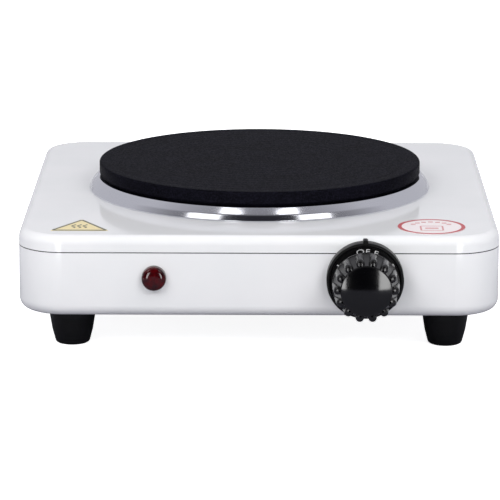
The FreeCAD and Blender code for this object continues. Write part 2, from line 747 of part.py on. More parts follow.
def make_grip():
    """Ribbed grip on a narrower neck, with a blind bore for the spindle and its clip."""
    bore = "spindle_radius + spindle_clearance"
    body = new_body("knob_grip")
    sketch = new_sketch(body, "XZ_Plane")
    recess = "grip_front - cap_recess"
    outline(sketch, [
        (bore, "hub_back"),
        ("hub_radius", "hub_back"),
        ("hub_radius", "dial_front"),
        ("neck_radius", "dial_front"),
        ("neck_radius", "grip_back"),
        ("rim_radius", "grip_back"),
        ("rim_radius", "grip_back + rim_thickness"),
        ("skirt_radius", "grip_back + rim_thickness"),
        ("grip_radius", "rib_front"),
        ("cap_radius + 2 * spindle_clearance + 0.7", "grip_front"),
        ("cap_radius + 2 * spindle_clearance", "grip_front"),
        ("cap_radius + 2 * spindle_clearance", recess),
        ("0", recess),
        ("0", "knob_bore_depth"),
        (bore, "knob_bore_depth")])
    revolve(body, sketch)
    sketch = new_sketch(body, "XZ_Plane")
    outline(sketch, [
        ("grip_radius - 0.5", "grip_back + rim_thickness / 2"),
        ("rib_root_radius", "grip_back + rim_thickness / 2"),
        ("rib_tip_radius", "rib_front"),
        ("grip_radius - 0.5", "rib_front")])
    rib = pad(body, sketch, "rib_width", Midplane=True)
    circle_of_ribs = body.newObject("PartDesign::PolarPattern", "knob_grip_ribs")
    circle_of_ribs.Originals = [rib]
    circle_of_ribs.Axis = (origin_feature(body, "Z_Axis"), [""])
    circle_of_ribs.Angle = 360
    bind(circle_of_ribs, Occurrences="rib_count")
    body.Tip = circle_of_ribs
    on_front(body, "knob_x")


def make_cap():
    """Domed disc pressed into the front of the grip."""
    seat = "grip_front - cap_recess"
    crown = "grip_front + cap_rise + cap_crown"
    radius = "((cap_radius * cap_radius + cap_crown * cap_crown) / (2 * cap_crown))"
    on_front(turned("knob_cap", [
        ("0", seat), ("cap_radius", seat), ("cap_radius", "grip_front + cap_rise"),
        ("0", crown)], {2: radius}), "knob_x")


def make_spindle():
    """Thermostat spindle, round in its bush and with a flat for the knob."""
    body = disc("thermostat_spindle", "spindle_radius", "-1 * spindle_back", "spindle_front")
    flat = new_sketch(body, lift="flat_start")
    rectangle(flat, "2 * spindle_radius", "spindle_radius", "0",
              "flat_height + spindle_radius / 2")
    pocket = feature(body, "Pocket", flat, Reversed=True)
    bind(pocket, Length="spindle_front - flat_start")
    on_front(body, "knob_x")


def make_clip():
    """Flat spring between the spindle's flat and the bore of the grip."""
    body = new_body("knob_clip")
    block(body, "spindle_radius", "spindle_radius - flat_height - 0.45",
          "flat_start + 1", "spindle_front - 1", "0",
          "(spindle_radius + flat_height - 0.25) / 2")
    on_front(body, "knob_x")


# ------------------------------------------------------------------------------------------
# Thermostat behind the front wall
# ------------------------------------------------------------------------------------------
def make_thermostat_frame():
    """U-shaped bracket: its web lies on the wall, its arms hold the ceramic body."""
    body = new_body("thermostat_frame")
    sketch = new_sketch(body, "XZ_Plane")
    arm = "ceramic_width / 2"
    web = "-1 * gauge - frame_metal"
    outline(sketch, [
        (arm, web), (arm, "-1 * ceramic_back"), (arm + " + frame_metal", "-1 * ceramic_back"),
        (arm + " + frame_metal", "-1 * gauge"), ("-1 * %s - frame_metal" % arm, "-1 * gauge"),
        ("-1 * %s - frame_metal" % arm, "-1 * ceramic_back"),
        ("-1 * " + arm, "-1 * ceramic_back"), ("-1 * " + arm, web)])
    pad(body, sketch, "ceramic_height * 0.7", Midplane=True)
    hole(body, "bush_radius", "0", "2 * frame_metal + gauge")
    for side in ("-1 * ", ""):
        hole(body, "control_screw_radius + thread_clearance", "0", "2 * frame_metal + gauge",
             side + "control_screw_pitch / 2")
    on_front(body, "knob_x")


def make_bush():
    on_front(ring("thermostat_bush", "spindle_radius + spindle_clearance", "bush_radius",
                  "-1 * ceramic_front", "bush_front"), "knob_x")


def make_control_screws():
    """Two screws from inside the bezel, through the wall, into the thermostat's frame."""
    body = new_body("thermostat_screws")
    for side in ("-1 * ", ""):
        x = side + "control_screw_pitch / 2"
        rod(body, "control_screw_radius", "-1 * gauge - frame_metal - 1",
            "bezel_floor + control_head_height / 2", x)
        rod(body, "control_head_radius", "bezel_floor", "bezel_floor + control_head_height", x)
    on_front(body, "knob_x")


def make_ceramic():
    """Steatite block of the thermostat, bored for the adjusting pin."""
    body = new_body("thermostat_body")
    block(body, "ceramic_width", "ceramic_height", "-1 * ceramic_back", "-1 * ceramic_front")
    hole(body, "pin_hole_radius", "0", "ceramic_back + 1")
    hole(body, "rivet_radius", "-1 * ceramic_back", "ceramic_back", "0", "clamp_y")
    on_front(body, "knob_x")


def make_adjuster():
    """Ceramic pin that the spindle's thread drives against the contact blade."""
    tip = "-1 * ceramic_back + adjuster_gap"
    on_front(turned("adjusting_pin", [
        ("0", tip), ("adjuster_tip", tip),
        ("adjuster_radius", tip + " + adjuster_radius - adjuster_tip"),
        ("adjuster_radius", "-1 * adjuster_front"), ("0", "-1 * adjuster_front")]), "knob_x")


def make_tabs():
    """Clamped strips of the contact stack; the rear one carries the fixed contact."""
    body = new_body("thermostat_tabs")
    block(body, "tab_reach + blade_width / 2", "clamp_height", "-1 * tab_back",
          "-1 * ceramic_back", "(tab_reach - blade_width / 2) / 2", "clamp_y")
    block(body, "tab_reach + blade_width / 2", "clamp_height", "-1 * fixed_back",
          "-1 * fixed_front", "(blade_width / 2 - tab_reach) / 2", "clamp_y")
    block(body, "blade_width", "clamp_y + blade_drop", "-1 * fixed_back", "-1 * fixed_front",
          "0", "(clamp_y - blade_drop) / 2")
    rod(body, "contact_radius", "-1 * fixed_front", "-1 * fixed_front + contact_height",
        "0", "contact_radius - blade_drop")
    hole(body, "rivet_radius", "-1 * tab_back", "fixed_back", "0", "clamp_y")
    on_front(body, "knob_x")


def make_stack_spacer():
    body = new_body("stack_spacer")
    block(body, "2 * blade_width", "clamp_height", "-1 * fixed_front", "-1 * tab_back", "0",
          "clamp_y")
    block(body, "2 * blade_width", "clamp_height", "-1 * fixed_back - blade_gap",
          "-1 * fixed_back", "0", "clamp_y")
    hole(body, "rivet_radius", "-1 * tab_back", "fixed_back + blade_gap", "0", "clamp_y")
    on_front(body, "knob_x")


def make_bimetal():
    """Strip that bends as it warms, clamped at the back of the stack."""
    body = new_body("bimetal_strip")
    front = "-1 * fixed_back - blade_gap"
    block(body, "bimetal_width", "clamp_y + clamp_height / 2 + bimetal_drop",
          front + " - bimetal_metal", front, "0",
          "(clamp_y + clamp_height / 2 - bimetal_drop) / 2")
    hole(body, "rivet_radius", front, "2 * bimetal_metal", "0", "clamp_y")
    on_front(body, "knob_x")


def make_stack_rivet():
    """Rivet through the ceramic body and the whole stack, headed at the back."""
    body = new_body("stack_rivet")
    back = "fixed_back + blade_gap + bimetal_metal"
    rod(body, "rivet_radius", "-1 * (%s) - gauge" % back, "-1 * ceramic_front", "0", "clamp_y")
    rod(body, "2 * rivet_radius", "-1 * (%s) - 2 * gauge" % back, "-1 * (%s)" % back, "0",
        "clamp_y")
    on_front(body, "knob_x")


def make_contact_blade():
    """Moving blade that hangs below the clamp and carries the moving contact."""
    body = new_body("contact_blade")
    top = "blade_pivot - blade_clearance"
    block(body, "blade_width", top + " + blade_drop", "-1 * tab_back", "-1 * ceramic_back", "0",
          "(%s - blade_drop) / 2" % top)
    rod(body, "contact_radius", "-1 * tab_back - contact_height", "-1 * tab_back", "0",
        "contact_radius - blade_drop")
    on_front(body, "knob_x")


# ------------------------------------------------------------------------------------------
# Pilot lamp
# ------------------------------------------------------------------------------------------
def dome(radius, height):
    """Radius of the arc over a dome of this base radius and height."""
    return "(((%s) * (%s) + (%s) * (%s)) / (2 * (%s)))" % (radius, radius, height, height, height)


def make_lamp():
    inner = "barrel_radius - barrel_wall"
    rise = "lens_crown - lens_flange"
    on_front(turned("pilot_lens", [
        (inner, "0"), ("lens_radius", "0"), ("lens_radius", "lens_flange"),
        ("0", "lens_crown"), ("0", "lens_crown - lens_wall"), (inner, "lens_flange")],
        {2: dome("lens_radius", rise), 4: "-" + dome(inner, rise + " - lens_wall")}), "lamp_x")
    barrel = turned("pilot_barrel", [
        ("0", "-1 * barrel_back"), ("barrel_radius", "-1 * barrel_back"),
        ("barrel_radius", "0"), (inner, "0"), (inner, "barrel_wall - barrel_back"),
        ("0", "barrel_wall - barrel_back")])
    for side in ("-1 * ", ""):
        hole(barrel, "lamp_lead_radius + hole_clearance", "-1 * barrel_back", "2 * barrel_wall",
             side + "lamp_lead_spacing / 2")
    on_front(barrel, "lamp_x")
    on_front(turned("pilot_bulb", [
        ("0", "-1 * bulb_back"), ("bulb_radius", "-1 * bulb_back"),
        ("bulb_radius", "-1 * bulb_front - bulb_dome"), ("0", "-1 * bulb_front")],
        {2: dome("bulb_radius", "bulb_dome")}), "lamp_x")
    on_front(ring("pilot_clip", "barrel_radius + fill_clearance", "clip_radius",
                  "-1 * gauge - clip_thickness", "-1 * gauge"), "lamp_x")


# ------------------------------------------------------------------------------------------
# Cable gland, terminal block, earth point
# ------------------------------------------------------------------------------------------
def on_rear(body):
    return place(body, "gland_x", "rear_y", "foot_height + gland_height", REAR)


def make_gland():
    """Moulded gland through the rear wall, with a bell mouth for the mains cord."""
    on_rear(turned("cable_gland", [
        ("gland_bore", "-1 * gauge - gland_inner"),
        ("gland_radius", "-1 * gauge - gland_inner"),
        ("gland_radius", "0"),
        ("gland_flange_radius", "0"),
        ("gland_flange_radius", "gland_reach / 3"),
        ("gland_radius", "gland_reach"),
        ("gland_bore + 1", "gland_reach"),
        ("gland_bore", "gland_reach - 2")]))
    on_rear(hexagon_nut("gland_nut", "gland_nut_flats", "gland_radius + thread_clearance",
                        "-1 * gauge - gland_nut_height", "-1 * gauge"))


def make_terminal_block():
    """Three-way block on the floor; its brass sleeves take the cord and the inner leads."""
    body = new_body("terminal_block")
    block(body, "block_width", "block_depth", "0", "block_height")
    middle = new_sketch(body, "XZ_Plane")
    for way in ("-1 * way_pitch", "0", "way_pitch"):
        circle(middle, "sleeve_radius", way, "way_level")
    cut(body, middle, "block_depth")
    for x in ("-1 * way_pitch", "0", "way_pitch"):
        for y in ("-1 * clamp_screw_spacing / 2", "clamp_screw_spacing / 2"):
            hole(body, "2 * clamp_screw_radius", "block_height", "block_height - way_level", x, y)
    hole(body, "block_screw_radius + thread_clearance", "0", "block_screw_reach + 0.3")
    place(body, "gland_x", "block_y", "floor_top")

    sleeves = new_body("terminal_sleeves")
    sketch = new_sketch(sleeves, "XZ_Plane")
    for way in ("-1 * way_pitch", "0", "way_pitch"):
        circle(sketch, "sleeve_radius - fill_clearance", way, "way_level")
        circle(sketch, "sleeve_bore", way, "way_level")
    pad(sleeves, sketch, "block_depth - 2", Midplane=True)
    for x in ("-1 * way_pitch", "0", "way_pitch"):
        for y in ("-1 * clamp_screw_spacing / 2", "clamp_screw_spacing / 2"):
            sketch = new_sketch(sleeves, lift="way_level + sleeve_radius")
            circle(sketch, "clamp_screw_radius + thread_clearance", x, y)
            cut(sleeves, sketch, "sleeve_radius")
    place(sleeves, "gland_x", "block_y", "floor_top")

    screws = new_body("terminal_screws")
    for x in ("-1 * way_pitch", "0", "way_pitch"):
        for y in ("-1 * clamp_screw_spacing / 2", "clamp_screw_spacing / 2"):
            rod(screws, "clamp_screw_radius", "way_level + sleeve_bore * 0.6",
                "block_height - 2", x, y)
    place(screws, "gland_x", "block_y", "floor_top")


def make_earth_point():
    """Screw up through the floor with its nut, and the ring tag of the earth lead between."""
    body = disc("earth_screw", "earth_radius", "foot_height", "floor_top + 6")
    rod(body, "screw_head_radius", "foot_height - screw_head_height", "foot_height")
    place(body, "earth_x", "body_y + earth_y")
    place(ring("earth_tag", "earth_radius + hole_clearance", "ring_tag_radius", "floor_top",
               "floor_top + gauge"), "earth_x", "body_y + earth_y")
    place(hexagon_nut("earth_nut", "nut_flats * 0.9", "earth_radius + thread_clearance",
                      "floor_top + gauge", "floor_top + gauge + 3"),
          "earth_x", "body_y + earth_y")
    screw = disc("block_screw", "block_screw_radius", "foot_height",
                 "floor_top + block_screw_reach")
    rod(screw, "screw_head_radius * 0.8", "foot_height - 1.6", "foot_height")
    place(screw, "gland_x", "block_y")


# ------------------------------------------------------------------------------------------
# Labels: thin printed pieces stuck flat to the deck and to the floor
# ------------------------------------------------------------------------------------------
def make_labels():
    height = "triangle_side * sqrt(3) / 2"
    triangle = new_body("triangle_label")
    sketch = new_sketch(triangle)
    outline(sketch, [("-1 * triangle_side / 2", "0"), ("triangle_side / 2", "0"), ("0", height)])
    pad(triangle, sketch, "foil")
    place(triangle, "triangle_x", "body_y + triangle_base_y", "deck_top")
    place(disc("round_label", "round_label_radius", "0", "foil"), "round_label_x",
          "body_y + round_label_y", "deck_top")
    plate = new_body("rating_plate")
    block(plate, "rating_width", "rating_depth", "-1 * foil", "0")
    place(plate, y="body_y + rating_y", z="foot_height")


# ------------------------------------------------------------------------------------------
# Insulated leads.  Each is one tube of straight runs joined by tangent arcs.
# ------------------------------------------------------------------------------------------
BEND_SHARE = 0.45     # of the shorter run beside a corner, which its arc may take


def spot(x, y, z):
    """Point of a route: a place in the object's own frame, each part an expression."""
    return Vector(val(x), val(y), val(z))


def bend(before, corner, after):
    """The tangent arc that rounds one corner of a route: its start, middle and end."""
    back = (before - corner).normalize()
    ahead = (after - corner).normalize()
    reach = BEND_SHARE * min(before.distanceToPoint(corner), after.distanceToPoint(corner))
    half_turn = (math.pi - back.getAngle(ahead)) / 2
    radius = reach / math.tan(half_turn)
    inward = (back + ahead).normalize()
    middle = corner + inward * (radius / math.cos(half_turn) - radius)
    return corner + back * reach, middle, corner + ahead * reach


def lead(name, routes, radius):
    """One node of tubes, each along its own route of points."""
    tubes = []
    for route in routes:
        edges, start = [], route[0]
        for before, corner, after in zip(route, route[1:], route[2:]):
            first, middle, last = bend(before, corner, after)
            edges += [Part.LineSegment(start, first).toShape(),
                      Part.Arc(first, middle, last).toShape()]
            start = last
        edges.append(Part.LineSegment(start, route[-1]).toShape())
        path = Part.Wire(edges)
        section = Part.Wire(Part.makeCircle(radius, route[0], route[1] - route[0]))
        tube = path.makePipeShell([section], True, False)
        expected = math.pi * radius * radius * path.Length
        if abs(tube.Volume / expected - 1) > 0.002:
            raise SystemExit("%s: a tube of %.1f where %.1f was meant"
                             % (name, tube.Volume, expected))
        tubes.append(tube)
    item = doc.addObject("Part::Feature", name)
    item.Shape = tubes[0] if len(tubes) == 1 else Part.makeCompound(tubes)
    item.Label = name
    item.Placement = Placement()
    sub_parts.append(item)


def way_mouth(way):
    """Front end of one way of the terminal block, where an inner lead goes in."""
    return spot("gland_x + (%s) * way_pitch" % way, "block_y - block_depth / 2 + 3", "way_z")


def make_leads():
    thick = val("lead_radius")
    thin = val("lamp_lead_radius")
    live_tab = spot("knob_x + tab_reach - 3", "front_y + tab_back + 2.4",
                    "control_z + clamp_y")
    load_tab = spot("knob_x - tab_reach + 3", "front_y + fixed_back + 2.4",
                    "control_z + clamp_y")
    inner_pin = spot("0", "body_y + coil_start", "wall_foot + fill_clearance - pin_reach")
    outer_pin = spot("0", "body_y + coil_end", "wall_foot + fill_clearance - pin_reach")
    tag = spot("earth_x", "body_y + earth_y", "floor_top + gauge / 2")
    low = val("floor_top") + 4
    step = Vector

    live = way_mouth("-1")
    lead("live_lead", [[
        live, live + step(0, -14, 0), step(-66, 24, low + 2), step(-52, -34, low),
        step(4, -64, low + 1), step(56, -68, low + 3),
        live_tab + step(0, 12, -6), live_tab]], thick)
    lead("switched_lead", [[
        load_tab, load_tab + step(0, 10, -5), step(22, -44, low + 8), step(6, 0, low + 6),
        inner_pin + step(0, -7, -11), inner_pin + step(0, 0, -7),
        inner_pin - step(0, 0, 0.2)]], thick)
    neutral = way_mouth("0")
    lead("neutral_lead", [[
        neutral, neutral + step(0, -12, 0), neutral + step(14, -24, 4),
        outer_pin + step(-12, 0, -13), outer_pin + step(0, 0, -9),
        outer_pin - step(0, 0, 0.2)]], thick)
    earth = way_mouth("1")
    lead("earth_lead", [[
        earth, earth + step(0, -9, 0), earth + step(8, -16, 0), tag + step(-10, 4, 4),
        tag + step(-4.6, 0, 1.2)]], thick)
    back = val("front_y") + val("barrel_back")
    lamp = spot("lamp_x", "front_y + barrel_back", "control_z")
    half = step(val("lamp_lead_spacing") / 2, 0, 0)
    tail = step(0, -6, 0)
    lead("lamp_leads", [
        [lamp - half + tail, lamp - half + step(0, 7, 0), step(-56, back + 22, low + 8),
         step(-42, 4, low + 2), neutral + step(-3, -24, 3), neutral + step(-3, -14, 2.8),
         neutral + step(-3, -3.4, 2.8)],
        [lamp + half + tail, lamp + half + step(0, 7, 0), step(-36, back + 15, low + 12),
         step(-4, -76, low + 10), load_tab + step(-7, 5, -1)]], thin)


def write_parts():
    doc.recompute()
    broken = [item.Label for item in doc.Objects
              if {"Invalid", "Error"} & set(item.State)]
    empty = [part.Label for part in sub_parts if part.Shape.isNull() or not part.Shape.isValid()]
    if broken or empty:
        raise SystemExit("failed objects: %s, bad shapes: %s" % (broken, empty))
    os.makedirs("parts", exist_ok=True)
    for part in sub_parts:
        part.Shape.exportStep(os.path.join("parts", part.Label + ".step"))


def make_everything():
    make_top_cover()
    make_base_pan()
    for depth_name, y in (("front", "-1 * foot_y"), ("rear", "foot_y")):
        for side_name, x in (("left", "-1 * foot_x"), ("right", "foot_x")):
            make_foot("foot_%s_%s" % (depth_name, side_name), x, y)
    make_foot_screws()
    make_corner_posts()
    make_cooking_plate()
    make_element_fill(make_heating_coil())
    make_element_cover()
    make_insulation_pad()
    make_heat_shield()
    make_clamp_bridge()
    make_stud_and_nut()
    make_terminal_bar()
    make_element_pins()
    make_trim_ring()
    make_bezel()
    make_dial()
    make_grip()
    make_cap()
    make_spindle()
    make_clip()
    make_thermostat_frame()
    make_bush()
    make_control_screws()
    make_ceramic()
    make_adjuster()
    make_tabs()
    make_stack_spacer()
    make_bimetal()
    make_stack_rivet()
    make_contact_blade()
    make_lamp()
    make_gland()
    make_terminal_block()
    make_earth_point()
    make_labels()
    make_leads()


make_everything()
write_parts()
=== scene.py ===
import math

import bmesh
import bpy
from mathutils import Matrix, Vector


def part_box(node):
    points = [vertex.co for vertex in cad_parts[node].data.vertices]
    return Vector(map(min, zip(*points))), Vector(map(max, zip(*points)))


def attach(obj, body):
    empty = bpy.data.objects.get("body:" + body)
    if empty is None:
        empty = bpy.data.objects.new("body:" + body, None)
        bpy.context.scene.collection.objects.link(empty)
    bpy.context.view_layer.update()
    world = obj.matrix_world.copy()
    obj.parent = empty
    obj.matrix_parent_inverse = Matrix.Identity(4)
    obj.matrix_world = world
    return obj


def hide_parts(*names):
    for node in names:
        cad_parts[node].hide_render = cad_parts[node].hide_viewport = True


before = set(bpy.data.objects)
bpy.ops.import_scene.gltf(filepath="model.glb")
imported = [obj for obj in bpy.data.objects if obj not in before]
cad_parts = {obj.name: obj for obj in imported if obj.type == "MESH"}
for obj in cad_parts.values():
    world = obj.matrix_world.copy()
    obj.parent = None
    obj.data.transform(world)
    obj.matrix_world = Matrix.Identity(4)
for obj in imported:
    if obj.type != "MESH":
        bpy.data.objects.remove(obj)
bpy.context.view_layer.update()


# ---- Housing: base pan and top cover -------------------------------------------------------------
# Two deep-drawn sheet steel pressings, dipped in white vitreous enamel and fired at about 830 C.
# The glass layer pools a little, so it is very smooth with a faint orange peel. At the seam, on the
# pan's lip and the cover's cut edge, a dark band is painted: painted shade of the narrow gap between
# cover and pan, where the white coat is also thin over the dark ground coat.

def to_linear(hex_colour):
    """The linear colour of an sRGB hex value."""
    values = [int(hex_colour[i:i + 2], 16) / 255 for i in (1, 3, 5)]
    return [v / 12.92 if v <= 0.04045 else ((v + 0.055) / 1.055) ** 2.4 for v in values] + [1]


def add(tree, kind, values=None, links=None, **properties):
    """One shader node with its properties, the values of its sockets and the links into them."""
    node = tree.nodes.new("ShaderNode" + kind)
    for name, value in properties.items():
        setattr(node, name, value)
    for socket, value in (values or {}).items():
        node.inputs[socket].default_value = value
    for socket, source in (links or {}).items():
        tree.links.new(source, node.inputs[socket])
    return node


def finish_called(name):
    """A material with an empty node tree, and the place on the surface in metres."""
    material = bpy.data.materials.new(name)
    material.use_nodes = True
    material.node_tree.nodes.clear()
    return material, add(material.node_tree, "TexCoord").outputs["Object"]


def wear(material, *names):
    """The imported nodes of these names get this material."""
    for name in names:
        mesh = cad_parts[name].data
        mesh.materials.clear()
        mesh.materials.append(material)


mm = 0.001

enamel, place = finish_called("white_vitreous_enamel")
tree = enamel.node_tree
pooling = add(tree, "TexNoise", {"Scale": 1 / (35 * mm), "Detail": 2}, {"Vector": place})
orange_peel = add(tree, "TexNoise", {"Scale": 1 / (2.5 * mm), "Detail": 1}, {"Vector": place})
shade = add(tree, "ValToRGB", links={"Fac": pooling.outputs["Fac"]})
shade.color_ramp.elements[0].position = 0.35
shade.color_ramp.elements[0].color = to_linear("#E9EAEB")
shade.color_ramp.elements[1].position = 0.65
shade.color_ramp.elements[1].color = to_linear("#EDEDEE")
parted = add(tree, "SeparateXYZ", links={"Vector": place})
seam_gap = 0.3 * mm
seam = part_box("top_cover")[0].z - seam_gap / 2
painted_seam_shade_margin = 0.07 * mm
# Painted shade: a dark grey band (#33363A) across the seam gap and 0.07 mm beyond it on either side.
painted_seam_shade_mask = add(tree, "Math", {1: seam, 2: seam_gap / 2 + painted_seam_shade_margin}, {0: parted.outputs["Z"]},
              operation="COMPARE")
enamel_with_painted_seam_shade = add(tree, "MixRGB", {"Color2": to_linear("#33363A")},
             {"Fac": painted_seam_shade_mask.outputs["Value"], "Color1": shade.outputs["Color"]})
relief = add(tree, "Bump", {"Strength": 0.06, "Distance": 0.05 * mm},
             {"Height": orange_peel.outputs["Fac"]})
glaze = add(tree, "BsdfPrincipled", {"Roughness": 0.1, "IOR": 1.52},
            {"Base Color": enamel_with_painted_seam_shade.outputs["Color"], "Normal": relief.outputs["Normal"]})
add(tree, "OutputMaterial", links={"Surface": glaze.outputs["BSDF"]})
wear(enamel, "base_pan", "top_cover")


# ---- Feet ----------------------------------------------------------------------------------------
# Four moulded black rubber cones. Each has a recess below for the screw that holds it,
# and the mould leaves a dull skin with rounded edges.

def rounded(corners, steps=6):
    """The closed outline through corners of (across, up, radius), each rounded to its radius."""
    points = []
    for i, (across, up, radius) in enumerate(corners):
        here = Vector((across, up))
        if not radius:
            points.append(here)
            continue
        back = (Vector(corners[i - 1][:2]) - here).normalized()
        ahead = (Vector(corners[(i + 1) % len(corners)][:2]) - here).normalized()
        half = back.angle(ahead) / 2
        centre = here + (back + ahead).normalized() * radius / math.sin(half)
        start = here + back * radius / math.tan(half) - centre
        end = here + ahead * radius / math.tan(half) - centre
        turn = math.atan2(start.x * end.y - start.y * end.x, start.dot(end))
        for step in range(steps + 1):
            points.append(centre + Matrix.Rotation(turn * step / steps, 2) @ start)
    return points


def piece_from(name, bm, material, body, *nodes):
    """An object from a bmesh in metres: smooth but for sharp edges, riding on a body."""
    bmesh.ops.remove_doubles(bm, verts=bm.verts, dist=1e-7)
    bmesh.ops.recalc_face_normals(bm, faces=bm.faces)
    mesh = bpy.data.meshes.new(name)
    bm.to_mesh(mesh)
    bm.free()
    mesh.shade_smooth()
    mesh.set_sharp_from_angle(angle=math.radians(32))
    mesh.materials.append(material)
    piece = bpy.data.objects.new(name, mesh)
    bpy.context.scene.collection.objects.link(piece)
    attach(piece, body)
    if nodes:
        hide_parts(*nodes)
    return piece


UPRIGHT = Matrix.Identity(3)
OUT_OF_FRONT = Matrix.Rotation(math.radians(90), 3, "X")


def turned(bm, outline, centre, stand=UPRIGHT, steps=96):
    """A closed outline of (radius, height) in mm, turned about its axis at a centre in metres."""
    rings = []
    for step in range(steps):
        spin = Matrix.Rotation(2 * math.pi * step / steps, 3, "Z")
        turned_by = stand @ spin
        rings.append([bm.verts.new(centre + turned_by @ Vector((p.x, 0, p.y)) * mm) for p in outline])
    for i, ring in enumerate(rings):
        beside = rings[(i + 1) % steps]
        for j in range(len(outline)):
            k = (j + 1) % len(outline)
            if outline[j].x < 1e-6 and outline[k].x < 1e-6:
                continue
            corners = [ring[j], ring[k], beside[k], beside[j]]
            if outline[j].x < 1e-6:
                corners = [ring[j], ring[k], beside[k]]
            if outline[k].x < 1e-6:
                corners = [ring[j], ring[k], beside[j]]
            bm.faces.new(corners)


rubber, place = finish_called("black_moulded_rubber")
tree = rubber.node_tree
spark = add(tree, "TexNoise", {"Scale": 1 / (0.5 * mm), "Detail": 2}, {"Vector": place})
bloom = add(tree, "TexNoise", {"Scale": 1 / (6 * mm), "Detail": 3}, {"Vector": place})
gloss = add(tree, "MapRange", {"To Min": 0.45, "To Max": 0.6}, {"Value": bloom.outputs["Fac"]})
relief = add(tree, "Bump", {"Strength": 0.15, "Distance": 0.03 * mm}, {"Height": spark.outputs["Fac"]})
skin = add(tree, "BsdfPrincipled",
           {"Base Color": to_linear("#0B0B0D"), "IOR": 1.49, "Specular IOR Level": 0.25},
           {"Roughness": gloss.outputs["Result"], "Normal": relief.outputs["Normal"]})
add(tree, "OutputMaterial", links={"Surface": skin.outputs["BSDF"]})

foot_outline = rounded([
    (10.9, 17.7, 0.3), (10.45, 13, 8), (9.4, 6.5, 8), (7.7, 0, 1.6), (4, 0, 0.4), (4, 6, 0.2), (2.1, 6, 0),
    (2.1, 17.7, 0)])
for name in ("foot_front_left", "foot_front_right", "foot_rear_left", "foot_rear_right"):
    low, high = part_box(name)
    foot = bmesh.new()
    turned(foot, foot_outline, Vector(((low.x + high.x) / 2, (low.y + high.y) / 2, 0)), steps=64)
    piece = piece_from(name + "_moulded", foot, rubber, "housing", name)


# ---- Screws, posts and small steel parts ---------------------------------------------------------
# Zinc plated mild steel: foot screws, corner posts, clamp bridge, stud, nuts, washers and springs.
# The plating is thin and slightly blue, with a fine mottled grain of its own.

zinc, place = finish_called("zinc_plated_steel")
tree = zinc.node_tree
spangle = add(tree, "TexNoise", {"Scale": 1 / (1.5 * mm), "Detail": 4}, {"Vector": place})
shade = add(tree, "ValToRGB", links={"Fac": spangle.outputs["Fac"]})
shade.color_ramp.elements[0].color = to_linear("#A3A9AE")
shade.color_ramp.elements[1].color = to_linear("#C9CDD1")
gloss = add(tree, "MapRange", {"To Min": 0.25, "To Max": 0.45}, {"Value": spangle.outputs["Fac"]})
plating = add(tree, "BsdfPrincipled", {"Metallic": 1},
              {"Base Color": shade.outputs["Color"], "Roughness": gloss.outputs["Result"]})
add(tree, "OutputMaterial", links={"Surface": plating.outputs["BSDF"]})
wear(zinc, "foot_screws", "corner_posts", "clamp_bridge", "centre_stud", "stud_washer", "stud_nut",
     "thermostat_frame", "thermostat_screws", "terminal_screws", "earth_screw", "earth_nut", "block_screw")


# ---- Cable gland, terminal block and earth tag ---------------------------------------------------
# The gland and its nut are moulded black nylon, and the terminal block is natural nylon with brass
# ways. Nylon keeps a slightly waxy, uneven skin.

nylon, place = finish_called("black_moulded_nylon")
tree = nylon.node_tree
texture = add(tree, "TexNoise", {"Scale": 1 / (0.8 * mm), "Detail": 2}, {"Vector": place})
relief = add(tree, "Bump", {"Strength": 0.2, "Distance": 0.03 * mm}, {"Height": texture.outputs["Fac"]})
skin = add(tree, "BsdfPrincipled", {"Base Color": to_linear("#17171A"), "Roughness": 0.42, "IOR": 1.53},
           {"Normal": relief.outputs["Normal"]})
add(tree, "OutputMaterial", links={"Surface": skin.outputs["BSDF"]})
wear(nylon, "cable_gland", "gland_nut")

natural_nylon, place = finish_called("natural_nylon")
tree = natural_nylon.node_tree
cloud = add(tree, "TexNoise", {"Scale": 1 / (5 * mm), "Detail": 2}, {"Vector": place})
shade = add(tree, "ValToRGB", links={"Fac": cloud.outputs["Fac"]})
shade.color_ramp.elements[0].color = to_linear("#DAD6C8")
shade.color_ramp.elements[1].color = to_linear("#EFECE2")
skin = add(tree, "BsdfPrincipled", {"Roughness": 0.4, "IOR": 1.53, "Subsurface Weight": 0.2,
                                    "Subsurface Scale": 1 * mm}, {"Base Color": shade.outputs["Color"]})
add(tree, "OutputMaterial", links={"Surface": skin.outputs["BSDF"]})
wear(natural_nylon, "terminal_block", "pilot_barrel")

brass, place = finish_called("drawn_brass")
tree = brass.node_tree
tarnish = add(tree, "TexNoise", {"Scale": 1 / (3 * mm), "Detail": 3}, {"Vector": place})
shade = add(tree, "ValToRGB", links={"Fac": tarnish.outputs["Fac"]})
shade.color_ramp.elements[0].color = to_linear("#B8924E")
shade.color_ramp.elements[1].color = to_linear("#DDBB74")
metal = add(tree, "BsdfPrincipled", {"Metallic": 1, "Roughness": 0.28},
            {"Base Color": shade.outputs["Color"]})
add(tree, "OutputMaterial", links={"Surface": metal.outputs["BSDF"]})
wear(brass, "terminal_sleeves", "thermostat_bush", "thermostat_tabs", "contact_blade", "earth_tag",
     "stack_rivet")


# ---- Thermostat ----------------------------------------------------------------------------------
# A steatite body with a bimetal strip, spring blades and a nickel plated spindle. Steatite is a
# white unglazed ceramic with a chalky face; the strips are rolled spring steel, brushed lengthwise.

steatite, place = finish_called("unglazed_steatite")
tree = steatite.node_tree
grit = add(tree, "TexNoise", {"Scale": 1 / (0.4 * mm), "Detail": 3}, {"Vector": place})
shade = add(tree, "ValToRGB", links={"Fac": grit.outputs["Fac"]})
shade.color_ramp.elements[0].color = to_linear("#E2DED2")
shade.color_ramp.elements[1].color = to_linear("#F2EFE6")
relief = add(tree, "Bump", {"Strength": 0.3, "Distance": 0.05 * mm}, {"Height": grit.outputs["Fac"]})
fired = add(tree, "BsdfPrincipled", {"Roughness": 0.75, "IOR": 1.6},
            {"Base Color": shade.outputs["Color"], "Normal": relief.outputs["Normal"]})
add(tree, "OutputMaterial", links={"Surface": fired.outputs["BSDF"]})
wear(steatite, "terminal_bar", "thermostat_body", "stack_spacer", "adjusting_pin")

